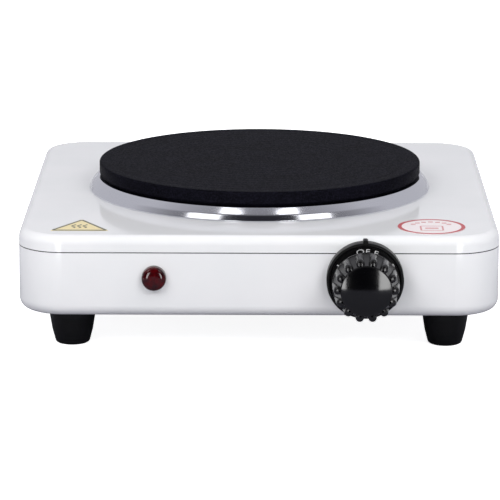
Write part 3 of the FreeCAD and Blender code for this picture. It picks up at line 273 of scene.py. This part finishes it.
spring, place = finish_called("rolled_spring_steel")
tree = spring.node_tree
along = add(tree, "Mapping", {"Scale": (1, 1, 40)}, {"Vector": place})
rolling = add(tree, "TexNoise", {"Scale": 1 / (12 * mm), "Detail": 3}, {"Vector": along.outputs["Vector"]})
gloss = add(tree, "MapRange", {"To Min": 0.22, "To Max": 0.4}, {"Value": rolling.outputs["Fac"]})
metal = add(tree, "BsdfPrincipled", {"Base Color": to_linear("#BDBDBE"), "Metallic": 1},
            {"Roughness": gloss.outputs["Result"]})
add(tree, "OutputMaterial", links={"Surface": metal.outputs["BSDF"]})
wear(spring, "knob_clip", "bimetal_strip")

nickel, place = finish_called("nickel_plated_steel")
tree = nickel.node_tree
film = add(tree, "TexNoise", {"Scale": 1 / (4 * mm), "Detail": 2}, {"Vector": place})
gloss = add(tree, "MapRange", {"To Min": 0.12, "To Max": 0.24}, {"Value": film.outputs["Fac"]})
metal = add(tree, "BsdfPrincipled", {"Base Color": to_linear("#D6D2C8"), "Metallic": 1},
            {"Roughness": gloss.outputs["Result"]})
add(tree, "OutputMaterial", links={"Surface": metal.outputs["BSDF"]})
wear(nickel, "thermostat_spindle")


# ---- Leads ---------------------------------------------------------------------------------------
# Silicone rubber sleeved leads, in the usual colours of live, switched live, neutral and earth.
# Silicone is dull and picks up a little dust.

lead_colours = {"live_lead": ("brown", "#5B3A22"), "switched_lead": ("black", "#2A2A2B"),
                "neutral_lead": ("blue", "#2E5FA6"), "lamp_leads": ("white", "#E4E3DE"),
                "earth_lead": ("green", "#5C9A33")}
for name, (colour, value) in lead_colours.items():
    silicone, place = finish_called(colour + "_silicone_rubber")
    tree = silicone.node_tree
    dust = add(tree, "TexNoise", {"Scale": 1 / (2 * mm), "Detail": 3}, {"Vector": place})
    gloss = add(tree, "MapRange", {"To Min": 0.5, "To Max": 0.7}, {"Value": dust.outputs["Fac"]})
    sleeve = add(tree, "BsdfPrincipled", {"Base Color": to_linear(value), "IOR": 1.41},
                 {"Roughness": gloss.outputs["Result"]})
    if name == "earth_lead":
        stripe = add(tree, "TexWave", {"Scale": 1 / (7 * mm)}, {"Vector": place}, wave_type="BANDS")
        shade = add(tree, "ValToRGB", links={"Fac": stripe.outputs["Fac"]})
        shade.color_ramp.interpolation = "CONSTANT"
        shade.color_ramp.elements[0].color = to_linear(value)
        shade.color_ramp.elements[1].position = 0.7
        shade.color_ramp.elements[1].color = to_linear("#E3CF2E")
        tree.links.new(shade.outputs["Color"], sleeve.inputs["Base Color"])
    add(tree, "OutputMaterial", links={"Surface": sleeve.outputs["BSDF"]})
    wear(silicone, name)


# ---- Heating element -----------------------------------------------------------------------------
# A tube coil set in insulating cement under the plate, closed by aluminised steel sheet over a pad
# of pressed mica. The tube's alloy oxidises dark; the sheet keeps a pale crystalline bloom.

oxidised, place = finish_called("oxidised_heater_alloy")
tree = oxidised.node_tree
scale = add(tree, "TexNoise", {"Scale": 1 / (2 * mm), "Detail": 4}, {"Vector": place})
shade = add(tree, "ValToRGB", links={"Fac": scale.outputs["Fac"]})
shade.color_ramp.elements[0].color = to_linear("#4B4640")
shade.color_ramp.elements[1].color = to_linear("#7E776C")
metal = add(tree, "BsdfPrincipled", {"Metallic": 0.8, "Roughness": 0.55},
            {"Base Color": shade.outputs["Color"]})
add(tree, "OutputMaterial", links={"Surface": metal.outputs["BSDF"]})
wear(oxidised, "heating_coil", "element_pins")

cement, place = finish_called("fired_insulating_cement")
tree = cement.node_tree
grain = add(tree, "TexNoise", {"Scale": 1 / (0.6 * mm), "Detail": 5}, {"Vector": place})
shade = add(tree, "ValToRGB", links={"Fac": grain.outputs["Fac"]})
shade.color_ramp.elements[0].color = to_linear("#C9C2B2")
shade.color_ramp.elements[1].color = to_linear("#E6E0D2")
relief = add(tree, "Bump", {"Strength": 0.6, "Distance": 0.1 * mm}, {"Height": grain.outputs["Fac"]})
chalk = add(tree, "BsdfPrincipled", {"Roughness": 0.95},
            {"Base Color": shade.outputs["Color"], "Normal": relief.outputs["Normal"]})
add(tree, "OutputMaterial", links={"Surface": chalk.outputs["BSDF"]})
wear(cement, "element_fill")

mica, place = finish_called("pressed_mica_board")
tree = mica.node_tree
flakes = add(tree, "TexVoronoi", {"Scale": 1 / (1.2 * mm)}, {"Vector": place})
shade = add(tree, "ValToRGB", links={"Fac": flakes.outputs["Distance"]})
shade.color_ramp.elements[0].color = to_linear("#D8CCA6")
shade.color_ramp.elements[1].color = to_linear("#B9A87C")
board = add(tree, "BsdfPrincipled", {"Roughness": 0.45, "Sheen Weight": 0.3},
            {"Base Color": shade.outputs["Color"]})
add(tree, "OutputMaterial", links={"Surface": board.outputs["BSDF"]})
wear(mica, "insulation_pad")

aluminised, place = finish_called("aluminised_steel_sheet")
tree = aluminised.node_tree
bloom = add(tree, "TexVoronoi", {"Scale": 1 / (4 * mm)}, {"Vector": place})
shade = add(tree, "ValToRGB", links={"Fac": bloom.outputs["Distance"]})
shade.color_ramp.elements[0].color = to_linear("#C6C8CA")
shade.color_ramp.elements[1].color = to_linear("#AEB1B4")
gloss = add(tree, "MapRange", {"To Min": 0.32, "To Max": 0.5}, {"Value": bloom.outputs["Distance"]})
metal = add(tree, "BsdfPrincipled", {"Metallic": 1},
            {"Base Color": shade.outputs["Color"], "Roughness": gloss.outputs["Result"]})
add(tree, "OutputMaterial", links={"Surface": metal.outputs["BSDF"]})
wear(aluminised, "element_cover", "heat_shield")


# ---- Trim ring -----------------------------------------------------------------------------------
# A pressed steel ring, chromium plated: a narrow hem on the deck and a bulging flank that rolls
# over into a flat seat under the plate. Chrome is near mirror bright, with a trace of polishing.

chrome, place = finish_called("bright_chromium_plate")
tree = chrome.node_tree
polish = add(tree, "TexNoise", {"Scale": 1 / (8 * mm), "Detail": 2}, {"Vector": place})
gloss = add(tree, "MapRange", {"To Min": 0.1, "To Max": 0.14}, {"Value": polish.outputs["Fac"]})
draw_marks = add(tree, "TexNoise", {"Scale": 1 / (30 * mm), "Detail": 1}, {"Vector": place})
relief = add(tree, "Bump", {"Strength": 0.12, "Distance": 0.3 * mm}, {"Height": draw_marks.outputs["Fac"]})
plating = add(tree, "BsdfPrincipled", {"Base Color": to_linear("#DCDDE3"), "Metallic": 1},
              {"Roughness": gloss.outputs["Result"], "Normal": relief.outputs["Normal"]})
add(tree, "OutputMaterial", links={"Surface": plating.outputs["BSDF"]})

low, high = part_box("cooking_plate")
plate_axis = Vector(((low.x + high.x) / 2, (low.y + high.y) / 2, 0))
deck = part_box("trim_ring")[0].z / mm
ring_outline = rounded([
    (82.3, deck, 0.05), (82.3, deck + 0.7, 0.3), (81.1, deck + 3.1, 3.5), (78.3, deck + 6.2, 0.8),
    (70.4, deck + 6.2, 0.3), (70.4, deck + 5.6, 0.3), (77.7, deck + 5.6, 0.6), (80.5, deck + 2.6, 3),
    (81.7, deck, 0.05)], 10)
ring = bmesh.new()
turned(ring, ring_outline, plate_axis, steps=192)
piece = piece_from("trim_ring_pressed", ring, chrome, "housing", "trim_ring")


# ---- Cooking plate -------------------------------------------------------------------------------
# Grey iron, cast and turned flat on a lathe, then sprayed with a matte black heat-resistant coat.
# The coat is finely granular, with the turning marks just showing through it as rings.

iron, place = finish_called("cast_iron_with_matte_black_heat_coat")
tree = iron.node_tree
from_axis = add(tree, "VectorMath", {1: plate_axis}, {0: place}, operation="SUBTRACT")
turning_pitch = 2.4 * mm
turning = add(tree, "TexWave", {"Scale": 1 / turning_pitch / 2 / math.pi, "Distortion": 1.5, "Detail": 2},
              {"Vector": from_axis.outputs["Vector"]}, wave_type="RINGS", rings_direction="Z")
granules = add(tree, "TexNoise", {"Scale": 1 / (0.7 * mm), "Detail": 3, "Roughness": 0.8},
               {"Vector": place})
casting = add(tree, "TexNoise", {"Scale": 1 / (14 * mm), "Detail": 4}, {"Vector": place})
shade = add(tree, "ValToRGB", links={"Fac": casting.outputs["Fac"]})
shade.color_ramp.elements[0].position = 0.3
shade.color_ramp.elements[0].color = to_linear("#060609")
shade.color_ramp.elements[1].position = 0.7
shade.color_ramp.elements[1].color = to_linear("#0B0B11")
speck = add(tree, "MapRange", {"From Min": 0.35, "From Max": 0.7, "To Min": 0.6, "To Max": 0.36},
            {"Value": granules.outputs["Fac"]})
grains = add(tree, "ValToRGB", links={"Fac": granules.outputs["Fac"]})
grains.color_ramp.elements[0].position = 0.45
grains.color_ramp.elements[0].color = to_linear("#000000")
grains.color_ramp.elements[1].position = 0.75
grains.color_ramp.elements[1].color = to_linear("#1B1A25")
sprayed = add(tree, "Mix", {0: 1}, {6: shade.outputs["Color"], 7: grains.outputs["Color"]},
              data_type="RGBA", blend_type="ADD")
rings = add(tree, "Bump", {"Strength": 0.5, "Distance": 0.05 * mm}, {"Height": turning.outputs["Fac"]})
relief = add(tree, "Bump", {"Strength": 0.6, "Distance": 0.06 * mm},
             {"Height": granules.outputs["Fac"], "Normal": rings.outputs["Normal"]})
coat = add(tree, "BsdfPrincipled", {"Specular IOR Level": 0.012},
           {"Base Color": sprayed.outputs[2], "Roughness": speck.outputs["Result"],
            "Normal": relief.outputs["Normal"]})
add(tree, "OutputMaterial", links={"Surface": coat.outputs["BSDF"]})

top = high.z / mm
foot_of_plate = low.z / mm
plate_outline = rounded([
    (0, top - 0.1, 0), (72, top - 0.1, 2), (75.5, top, 1), (77.5, top, 0.9), (77.5, top - 5.5, 0.6),
    (76, top - 7, 0.5), (70, top - 7.4, 0.5), (70, foot_of_plate, 0.3), (66, foot_of_plate, 0.3),
    (66, top - 8, 0.5), (0, top - 8, 0)])
plate = bmesh.new()
turned(plate, plate_outline, plate_axis, steps=192)
piece = piece_from("cooking_plate_cast", plate, iron, "housing", "cooking_plate")


# ---- Pilot lamp ----------------------------------------------------------------------------------
# A red polycarbonate lens over a small bulb, pushed through the front wall and held by a spring
# clip. The lens is a thick polished dome, so it looks nearly black where no light comes through.

wear(spring, "pilot_clip")

glass, place = finish_called("clear_lamp_glass")
tree = glass.node_tree
waves = add(tree, "TexNoise", {"Scale": 1 / (2 * mm)}, {"Vector": place})
relief = add(tree, "Bump", {"Strength": 0.1, "Distance": 0.02 * mm}, {"Height": waves.outputs["Fac"]})
clear = add(tree, "BsdfPrincipled", {"Base Color": to_linear("#F4EBDD"), "Roughness": 0.02, "IOR": 1.5,
                                     "Transmission Weight": 0.9}, {"Normal": relief.outputs["Normal"]})
add(tree, "OutputMaterial", links={"Surface": clear.outputs["BSDF"]})
wear(glass, "pilot_bulb")

polycarbonate, place = finish_called("red_polycarbonate")
tree = polycarbonate.node_tree
depth = add(tree, "TexNoise", {"Scale": 1 / (3 * mm), "Detail": 2}, {"Vector": place})
shade = add(tree, "ValToRGB", links={"Fac": depth.outputs["Fac"]})
shade.color_ramp.elements[0].position = 0.35
shade.color_ramp.elements[0].color = to_linear("#260004")
shade.color_ramp.elements[1].position = 0.65
shade.color_ramp.elements[1].color = to_linear("#540308")
tinted = add(tree, "BsdfPrincipled", {"Roughness": 0.1, "IOR": 1.5, "Transmission Weight": 0.25},
             {"Base Color": shade.outputs["Color"]})
add(tree, "OutputMaterial", links={"Surface": tinted.outputs["BSDF"]})

low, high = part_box("pilot_lens")
lens_axis = Vector(((low.x + high.x) / 2, high.y, (low.z + high.z) / 2))
dome_radius = 5.6
dome_foot = 1.4
dome_rise = 2.9
fullness = 3.5
lens_outline = [Vector((dome_radius + 0.05, 0)), Vector((dome_radius + 0.05, 0.6))]
for step in range(33):
    share = math.cos(math.radians(90 * step / 32))
    rise = max(0, 1 - share ** fullness) ** (1 / fullness)
    lens_outline.append(Vector((dome_radius * share, dome_foot + dome_rise * rise)))
lens_outline[-1].x = 0
lens_outline += [Vector((0, 2.8)), Vector((2.4, 2.3)), Vector((3.9, 0.9)), Vector((4.6, 0))]
lens = bmesh.new()
turned(lens, lens_outline, lens_axis, OUT_OF_FRONT, 72)
piece = piece_from("pilot_lens_moulded", lens, polycarbonate, "housing", "pilot_lens")


# ---- Knob: bezel and dial ------------------------------------------------------------------------
# A fixed cup with a pointer nub on top, and inside it the dial disc that turns with the knob. Both
# are moulded in matte black phenolic, and the dial's words and numbers are pad printed in white.

phenolic, place = finish_called("matte_black_phenolic")
tree = phenolic.node_tree
texture = add(tree, "TexNoise", {"Scale": 1 / (0.6 * mm), "Detail": 3}, {"Vector": place})
relief = add(tree, "Bump", {"Strength": 0.15, "Distance": 0.03 * mm}, {"Height": texture.outputs["Fac"]})
gloss = add(tree, "MapRange", {"To Min": 0.3, "To Max": 0.42}, {"Value": texture.outputs["Fac"]})
skin = add(tree, "BsdfPrincipled", {"Base Color": to_linear("#050506"), "Specular IOR Level": 0.2},
           {"Roughness": gloss.outputs["Result"], "Normal": relief.outputs["Normal"]})
add(tree, "OutputMaterial", links={"Surface": skin.outputs["BSDF"]})
wear(phenolic, "knob_dial")

low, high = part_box("knob_dial")
knob_axis = Vector(((low.x + high.x) / 2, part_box("knob_bezel")[1].y, (low.z + high.z) / 2))
cup = bmesh.new()
cup_outline = [(17.5, 0, 0), (17.5, 6, 0.7), (15.9, 6, 0.3), (15.9, 1.5, 0.3), (4, 1.5, 0), (4, 0, 0)]
turned(cup, rounded(cup_outline), knob_axis, OUT_OF_FRONT, 128)
nub = [(16.6, 0.6), (18.5, 0.6), (18.8, 1.0), (18.8, 5.2), (18.6, 5.7), (18.2, 6), (16.6, 6)]
slices = []
for across, sink in ((-1.15, 0.35), (-0.85, 0.08), (-0.4, 0), (0.4, 0), (0.85, 0.08), (1.15, 0.35)):
    lowered = [(up - sink * (up > 17), out) for up, out in nub]
    slices.append([cup.verts.new(knob_axis + Vector((across, -out, up)) * mm) for up, out in lowered])
for one, two in zip(slices, slices[1:]):
    for j in range(len(nub)):
        k = (j + 1) % len(nub)
        cup.faces.new([one[j], one[k], two[k], two[j]])
cup.faces.new(slices[0])
cup.faces.new(slices[-1])
piece = piece_from("knob_bezel_moulded", cup, phenolic, "housing", "knob_bezel")

ink, place = finish_called("white_pad_printing_ink")
tree = ink.node_tree
coverage = add(tree, "TexNoise", {"Scale": 1 / (0.3 * mm), "Detail": 2}, {"Vector": place})
shade = add(tree, "ValToRGB", links={"Fac": coverage.outputs["Fac"]})
shade.color_ramp.elements[0].color = to_linear("#D6D6D8")
shade.color_ramp.elements[1].color = to_linear("#F4F4F4")
film = add(tree, "BsdfPrincipled", {"Roughness": 0.5}, {"Base Color": shade.outputs["Color"]})
add(tree, "OutputMaterial", links={"Surface": film.outputs["BSDF"]})

print_meshes = bmesh.new()
marks = [(0, "1"), (60, "2"), (120, "3"), (180, "4"), (240, "5"), (310, "O"), (296, "F"), (280, "F")]
print_radius = 12.6 * mm
dial_face = 5.22 * mm
for angle, text in marks:
    letter = bpy.data.curves.new("dial_letter", "FONT")
    letter.body = text
    letter.size = 3.2 * mm
    letter.extrude = 0.01 * mm
    letter.align_x = "CENTER"
    holder = bpy.data.objects.new("dial_letter", letter)
    printed = bpy.data.meshes.new_from_object(holder)
    printed.transform(Matrix.Diagonal((1.45, 1, 1, 1)))
    printed.transform(Matrix.Translation((0, print_radius, 0)))
    printed.transform(Matrix.Rotation(math.radians(angle + 60), 4, "Z"))
    printed.transform(Matrix.Translation(knob_axis - Vector((0, dial_face, 0))) @ OUT_OF_FRONT.to_4x4())
    print_meshes.from_mesh(printed)
    bpy.data.objects.remove(holder)
piece = piece_from("knob_dial_printing", print_meshes, ink, "knob")


# ---- Knob: grip and cap --------------------------------------------------------------------------
# One thermoset moulding with fourteen fingers round a narrow neck, and a domed cap snapped into its
# front. It comes from a polished mould, so it is deep black and glossy with soft edges.

thermoset, place = finish_called("gloss_black_thermoset")
tree = thermoset.node_tree
flow = add(tree, "TexNoise", {"Scale": 1 / (5 * mm), "Detail": 2}, {"Vector": place})
gloss = add(tree, "MapRange", {"To Min": 0.16, "To Max": 0.26}, {"Value": flow.outputs["Fac"]})
skin = add(tree, "BsdfPrincipled", {"Base Color": to_linear("#09090A"), "IOR": 1.55},
           {"Roughness": gloss.outputs["Result"]})
add(tree, "OutputMaterial", links={"Surface": skin.outputs["BSDF"]})


def fingered(reach, body, half_width, fingers=14):
    """The outline of the grip across its axis in mm: round fingers on a round body."""
    points = []
    for finger in range(fingers):
        middle = Matrix.Rotation(2 * math.pi * finger / fingers, 2)
        root = math.sqrt(body ** 2 - half_width ** 2)
        centre = max(reach - half_width, root)
        points.append(middle @ Vector((root, -half_width)))
        for step in range(13):
            angle = math.radians(-90 + 180 * step / 12)
            out = centre + (reach - centre) * math.cos(angle)
            points.append(middle @ Vector((out, half_width * math.sin(angle))))
        points.append(middle @ Vector((root, half_width)))
        valley = Matrix.Rotation(2 * math.pi * (finger + 0.5) / fingers, 2)
        points.append(valley @ Vector((body, 0)))
    return points


grip = bmesh.new()
levels = [(15.15, 14.8, 14.9, 1.75), (15.1, 16.0, 14.3, 1.8), (15.0, 18.5, 13.5, 1.85),
          (14.9, 21.0, 12.8, 1.9), (14.8, 22.5, 12.3, 1.9), (14.75, 23.2, 12.1, 1.88),
          (14.6, 23.8, 11.9, 1.8), (14.3, 24.25, 11.8, 1.65), (13.8, 24.55, 11.7, 1.4),
          (13.1, 24.72, 11.65, 1.0), (12.3, 24.8, 11.6, 0.6)]
rows = []
for reach, out, body, half_width in levels:
    section = fingered(reach, body, half_width)
    rows.append([grip.verts.new(knob_axis + Vector((p.x, -out, p.y)) * mm) for p in section])
for one, two in zip(rows, rows[1:]):
    for j in range(len(one)):
        k = (j + 1) % len(one)
        grip.faces.new([one[j], one[k], two[k], two[j]])
core_outline = rounded([
    (15.2, 14.9, 0.25), (11.5, 14.9, 0), (11.5, 24.7, 0), (11.6, 24.78, 0), (11.35, 24.78, 0),
    (11.35, 23.6, 0), (4, 23.6, 0), (4, 3.8, 0), (6, 3.8, 0), (6, 6.4, 0), (12, 6.4, 0.5),
    (12, 12, 1), (13.3, 13.3, 0.4), (15.2, 13.3, 0.25)])
turned(grip, core_outline, knob_axis, OUT_OF_FRONT, 128)
piece = piece_from("knob_grip_moulded", grip, thermoset, "knob", "knob_grip")

polished, place = finish_called("polished_black_thermoset")
tree = polished.node_tree
haze = add(tree, "TexNoise", {"Scale": 1 / (4 * mm), "Detail": 2}, {"Vector": place})
gloss = add(tree, "MapRange", {"To Min": 0.08, "To Max": 0.12}, {"Value": haze.outputs["Fac"]})
skin = add(tree, "BsdfPrincipled", {"Base Color": to_linear("#020203"), "IOR": 1.55},
           {"Roughness": gloss.outputs["Result"]})
add(tree, "OutputMaterial", links={"Surface": skin.outputs["BSDF"]})
cap_outline = [Vector((0, 24.8)), Vector((11.2, 24.8)), Vector((11.3, 24.95)), Vector((11.3, 25.2))]
cap_radius = 11.2
cap_rise = 1.08
for step in range(13):
    across = cap_radius * math.cos(math.radians(90 * step / 12))
    cap_outline.append(Vector((across, 25.32 + cap_rise * (1 - (across / cap_radius) ** 2))))
cap_outline[-1].x = 0
cap = bmesh.new()
turned(cap, cap_outline, knob_axis, OUT_OF_FRONT, 128)
piece = piece_from("knob_cap_moulded", cap, polished, "knob", "knob_cap")


# ---- Labels and rating plate ---------------------------------------------------------------------
# Two die-cut vinyl labels on the deck with plain printed shapes, and a blank foil plate below.
# Vinyl has a satin face; the foil is rolled aluminium with lengthwise lines.

def sticker(name, hex_colour, fade, node=None, mesh=None):
    """A vinyl print in one ink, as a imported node's finish or as a new piece on the deck."""
    vinyl, place = finish_called(name)
    tree = vinyl.node_tree
    dots = add(tree, "TexNoise", {"Scale": 1 / (0.7 * mm), "Detail": 2}, {"Vector": place})
    shade = add(tree, "ValToRGB", links={"Fac": dots.outputs["Fac"]})
    shade.color_ramp.elements[0].color = to_linear(hex_colour)
    shade.color_ramp.elements[1].color = to_linear(fade)
    face = add(tree, "BsdfPrincipled", {"Roughness": 0.35, "IOR": 1.5},
               {"Base Color": shade.outputs["Color"]})
    add(tree, "OutputMaterial", links={"Surface": face.outputs["BSDF"]})
    if node:
        wear(vinyl, node)
    if mesh:
        piece_from(name + "_shapes", mesh, vinyl, "housing")


def stroke(bm, points, width, height):
    """A flat printed strip through points in metres, of a width in mm at a height in metres."""
    sides = []
    for i, here in enumerate(points):
        along = (points[min(i + 1, len(points) - 1)] - points[max(i - 1, 0)]).normalized()
        across = Vector((-along.y, along.x)) * width / 2 * mm
        sides.append([bm.verts.new((*(here + across), height)), bm.verts.new((*(here - across), height))])
    for one, two in zip(sides, sides[1:]):
        bm.faces.new([one[0], one[1], two[1], two[0]])


low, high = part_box("triangle_label")
sticker("yellow_printed_vinyl", "#EBD9A0", "#F2E4B4", node="triangle_label")
middle_x = (low.x + high.x) / 2
outline = bmesh.new()
inset = 0.45 * mm
corners = [Vector((low.x + 1.8 * inset, low.y + inset)), Vector((high.x - 1.8 * inset, low.y + inset)),
           Vector((middle_x, high.y - 2 * inset))]
for i, corner in enumerate(corners):
    stroke(outline, [corner, corners[(i + 1) % 3]], 1.3, high.z + 0.02 * mm)
for shift in (-3.1, -0.5, 2.1):
    bends = [Vector((shift + 0.8 * math.sin(t * 1.2), 5 + t)) for t in range(8)]
    wave = [Vector((middle_x, low.y)) + bend * mm for bend in bends]
    stroke(outline, wave, 0.9, high.z + 0.02 * mm)
sticker("olive_printed_vinyl", "#55523A", "#6A6648", mesh=outline)

low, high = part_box("round_label")
sticker("pale_printed_vinyl", "#F1E6E6", "#F6EEEE", node="round_label")
middle = Vector(((low.x + high.x) / 2, (low.y + high.y) / 2))
band = bmesh.new()
start = Vector((14.6 * mm, 0))
circle = [middle + Matrix.Rotation(math.radians(5 * i), 2) @ start for i in range(73)]
stroke(band, circle, 1.8, high.z + 0.02 * mm)
sticker("red_printed_vinyl", "#B23A42", "#C8565C", mesh=band)
bars = bmesh.new()
for i in range(7):
    angle = math.radians(150 - 20 * i)
    spot = middle + Vector((math.cos(angle), math.sin(angle))) * 9.5 * mm
    stroke(bars, [spot - Vector((1.1, 0)) * mm, spot + Vector((1.1, 0)) * mm], 1.8, high.z + 0.02 * mm)
frame_corners = [Vector((x, y)) * mm + middle for x, y in ((-5, -8), (5, -8), (5, 1), (-5, 1))]
for i, corner in enumerate(frame_corners):
    stroke(bars, [corner, frame_corners[(i + 1) % 4]], 0.8, high.z + 0.02 * mm)
stroke(bars, [middle + Vector((-3, -3.5)) * mm, middle + Vector((3, -3.5)) * mm], 2.2, high.z + 0.02 * mm)
sticker("rose_printed_vinyl", "#CF8486", "#DA9A9A", mesh=bars)

foil, place = finish_called("rolled_aluminium_foil")
tree = foil.node_tree
along = add(tree, "Mapping", {"Scale": (1, 30, 1)}, {"Vector": place})
lines = add(tree, "TexNoise", {"Scale": 1 / (20 * mm), "Detail": 3}, {"Vector": along.outputs["Vector"]})
gloss = add(tree, "MapRange", {"To Min": 0.3, "To Max": 0.45}, {"Value": lines.outputs["Fac"]})
metal = add(tree, "BsdfPrincipled", {"Base Color": to_linear("#D2D3D5"), "Metallic": 1},
            {"Roughness": gloss.outputs["Result"]})
add(tree, "OutputMaterial", links={"Surface": metal.outputs["BSDF"]})
wear(foil, "rating_plate")


# ---- Studio --------------------------------------------------------------------------------------
# A pale floor that shows from above only, two softboxes, two low strips and two small top lights,
# with fills that light the enamel but don't show in the chrome. The room is dim towards the front
# and pale at the sides and back. In reflections the floor is a grey table with a front edge.

floor_mesh = bmesh.new()
bmesh.ops.create_grid(floor_mesh, x_segments=1, y_segments=1, size=6)
mesh = bpy.data.meshes.new("studio_floor")
floor_mesh.to_mesh(mesh)
floor_mesh.free()
floor = bpy.data.objects.new("studio_floor", mesh)
bpy.context.scene.collection.objects.link(floor)
paper, place = finish_called("pale_studio_paper")
tree = paper.node_tree
matte = add(tree, "BsdfDiffuse", {"Color": to_linear("#FFFFFF")})
glow = add(tree, "Emission", {"Color": to_linear("#FFFFFF"), "Strength": 0.88})
lifted = add(tree, "AddShader", links={0: matte.outputs["BSDF"], 1: glow.outputs["Emission"]})
across = add(tree, "SeparateXYZ", links={"Vector": place})
aside = add(tree, "Math", links={0: across.outputs["X"]}, operation="ABSOLUTE")
beside = add(tree, "MapRange", {"From Min": 0.12, "From Max": 0.24}, {"Value": aside.outputs["Value"]})
greys = add(tree, "ValToRGB", links={"Fac": beside.outputs["Result"]})
greys.color_ramp.elements[0].color = to_linear("#8E8E98")
greys.color_ramp.elements[1].color = to_linear("#F4F4F8")
dim = add(tree, "BsdfDiffuse", links={"Color": greys.outputs["Color"]})
table_front = -0.3
past_edge = add(tree, "Math", {1: table_front}, {0: across.outputs["Y"]}, operation="LESS_THAN")
nothing = add(tree, "BsdfTransparent")
table = add(tree, "MixShader", links={0: past_edge.outputs["Value"], 1: dim.outputs["BSDF"],
                                      2: nothing.outputs["BSDF"]})
seen = add(tree, "LightPath")
both = add(tree, "MixShader", links={0: seen.outputs["Is Camera Ray"], 1: table.outputs["Shader"],
                                     2: lifted.outputs["Shader"]})
side = add(tree, "NewGeometry")
one_sided = add(tree, "MixShader", links={0: side.outputs["Backfacing"], 1: both.outputs["Shader"],
                                          2: nothing.outputs["BSDF"]})
add(tree, "OutputMaterial", links={"Surface": one_sided.outputs["Shader"]})
mesh.materials.append(paper)

room = bpy.data.worlds.new("studio_room")
bpy.context.scene.world = room
room.use_nodes = True
tree = room.node_tree
tree.nodes.clear()
direction = add(tree, "SeparateXYZ", links={"Vector": add(tree, "TexCoord").outputs["Generated"]})
depth = add(tree, "MapRange", {"From Min": -0.75, "From Max": 0.15}, {"Value": direction.outputs["Y"]})
walls = add(tree, "ValToRGB", links={"Fac": depth.outputs["Result"]})
walls.color_ramp.elements[0].color = to_linear("#26262C")
walls.color_ramp.elements[1].color = to_linear("#C6C6CC")
seen = add(tree, "LightPath")
dimmed = add(tree, "Background", {"Strength": 1}, {"Color": walls.outputs["Color"]})
white = add(tree, "Background", {"Color": to_linear("#FFFFFF"), "Strength": 1})
both = add(tree, "MixShader", links={0: seen.outputs["Is Camera Ray"], 1: dimmed.outputs["Background"],
                                     2: white.outputs["Background"]})
add(tree, "OutputWorld", links={"Surface": both.outputs["Shader"]})

aim = Vector((0, 0, 0.05))
lights = (("softbox_left", (-0.87, -0.99, 1.03), 0.58, 0.6, 1.9),
          ("softbox_right", (0.87, -0.99, 1.03), 0.58, 0.6, 1.9),
          ("strip_left", (-0.50, -1.5, 0.0), 0.26, 0.6, 3.9),
          ("strip_right", (0.50, -1.5, 0.0), 0.26, 0.6, 3.9),
          ("top_left", (-0.32, -0.47, 1.38), 0.25, 0.14, 0.25),
          ("top_right", (0.32, -0.47, 1.38), 0.25, 0.14, 0.25),
          ("fill_left", (-0.75, -1.3, 1.1), 0.8, 0.8, 10.3),
          ("fill_right", (0.75, -1.3, 1.1), 0.8, 0.8, 10.3),
          ("fill_above", (0, -0.5, 1.6), 1.0, 1.0, 3.2),
          ("fill_behind", (0, 1.5, 0.7), 1.2, 0.9, 6))
for name, place, width, height, power in lights:
    light = bpy.data.lights.new(name, "AREA")
    light.shape = "RECTANGLE"
    light.size = width
    light.size_y = height
    light.energy = power
    lamp = bpy.data.objects.new(name, light)
    lamp.location = place
    lamp.visible_glossy = not name.startswith("fill")
    lamp.rotation_euler = (Vector(place) - aim).to_track_quat("Z", "Y").to_euler()
    bpy.context.scene.collection.objects.link(lamp)

camera = bpy.data.cameras.new("camera")
camera.sensor_width = 36
camera.lens = 231.21
viewer = bpy.data.objects.new("camera", camera)
turn_left = Matrix.Rotation(math.radians(0.314), 4, "Z")
tilt_down = Matrix.Rotation(math.radians(76.896), 4, "X")
roll = Matrix.Rotation(0.00193, 4, "Z")
viewer.matrix_world = Matrix.Translation((0.00376, -1.5170, 0.3782)) @ turn_left @ tilt_down @ roll
bpy.context.scene.collection.objects.link(viewer)
bpy.context.scene.camera = viewer
bpy.context.scene.view_settings.view_transform = "Standard"
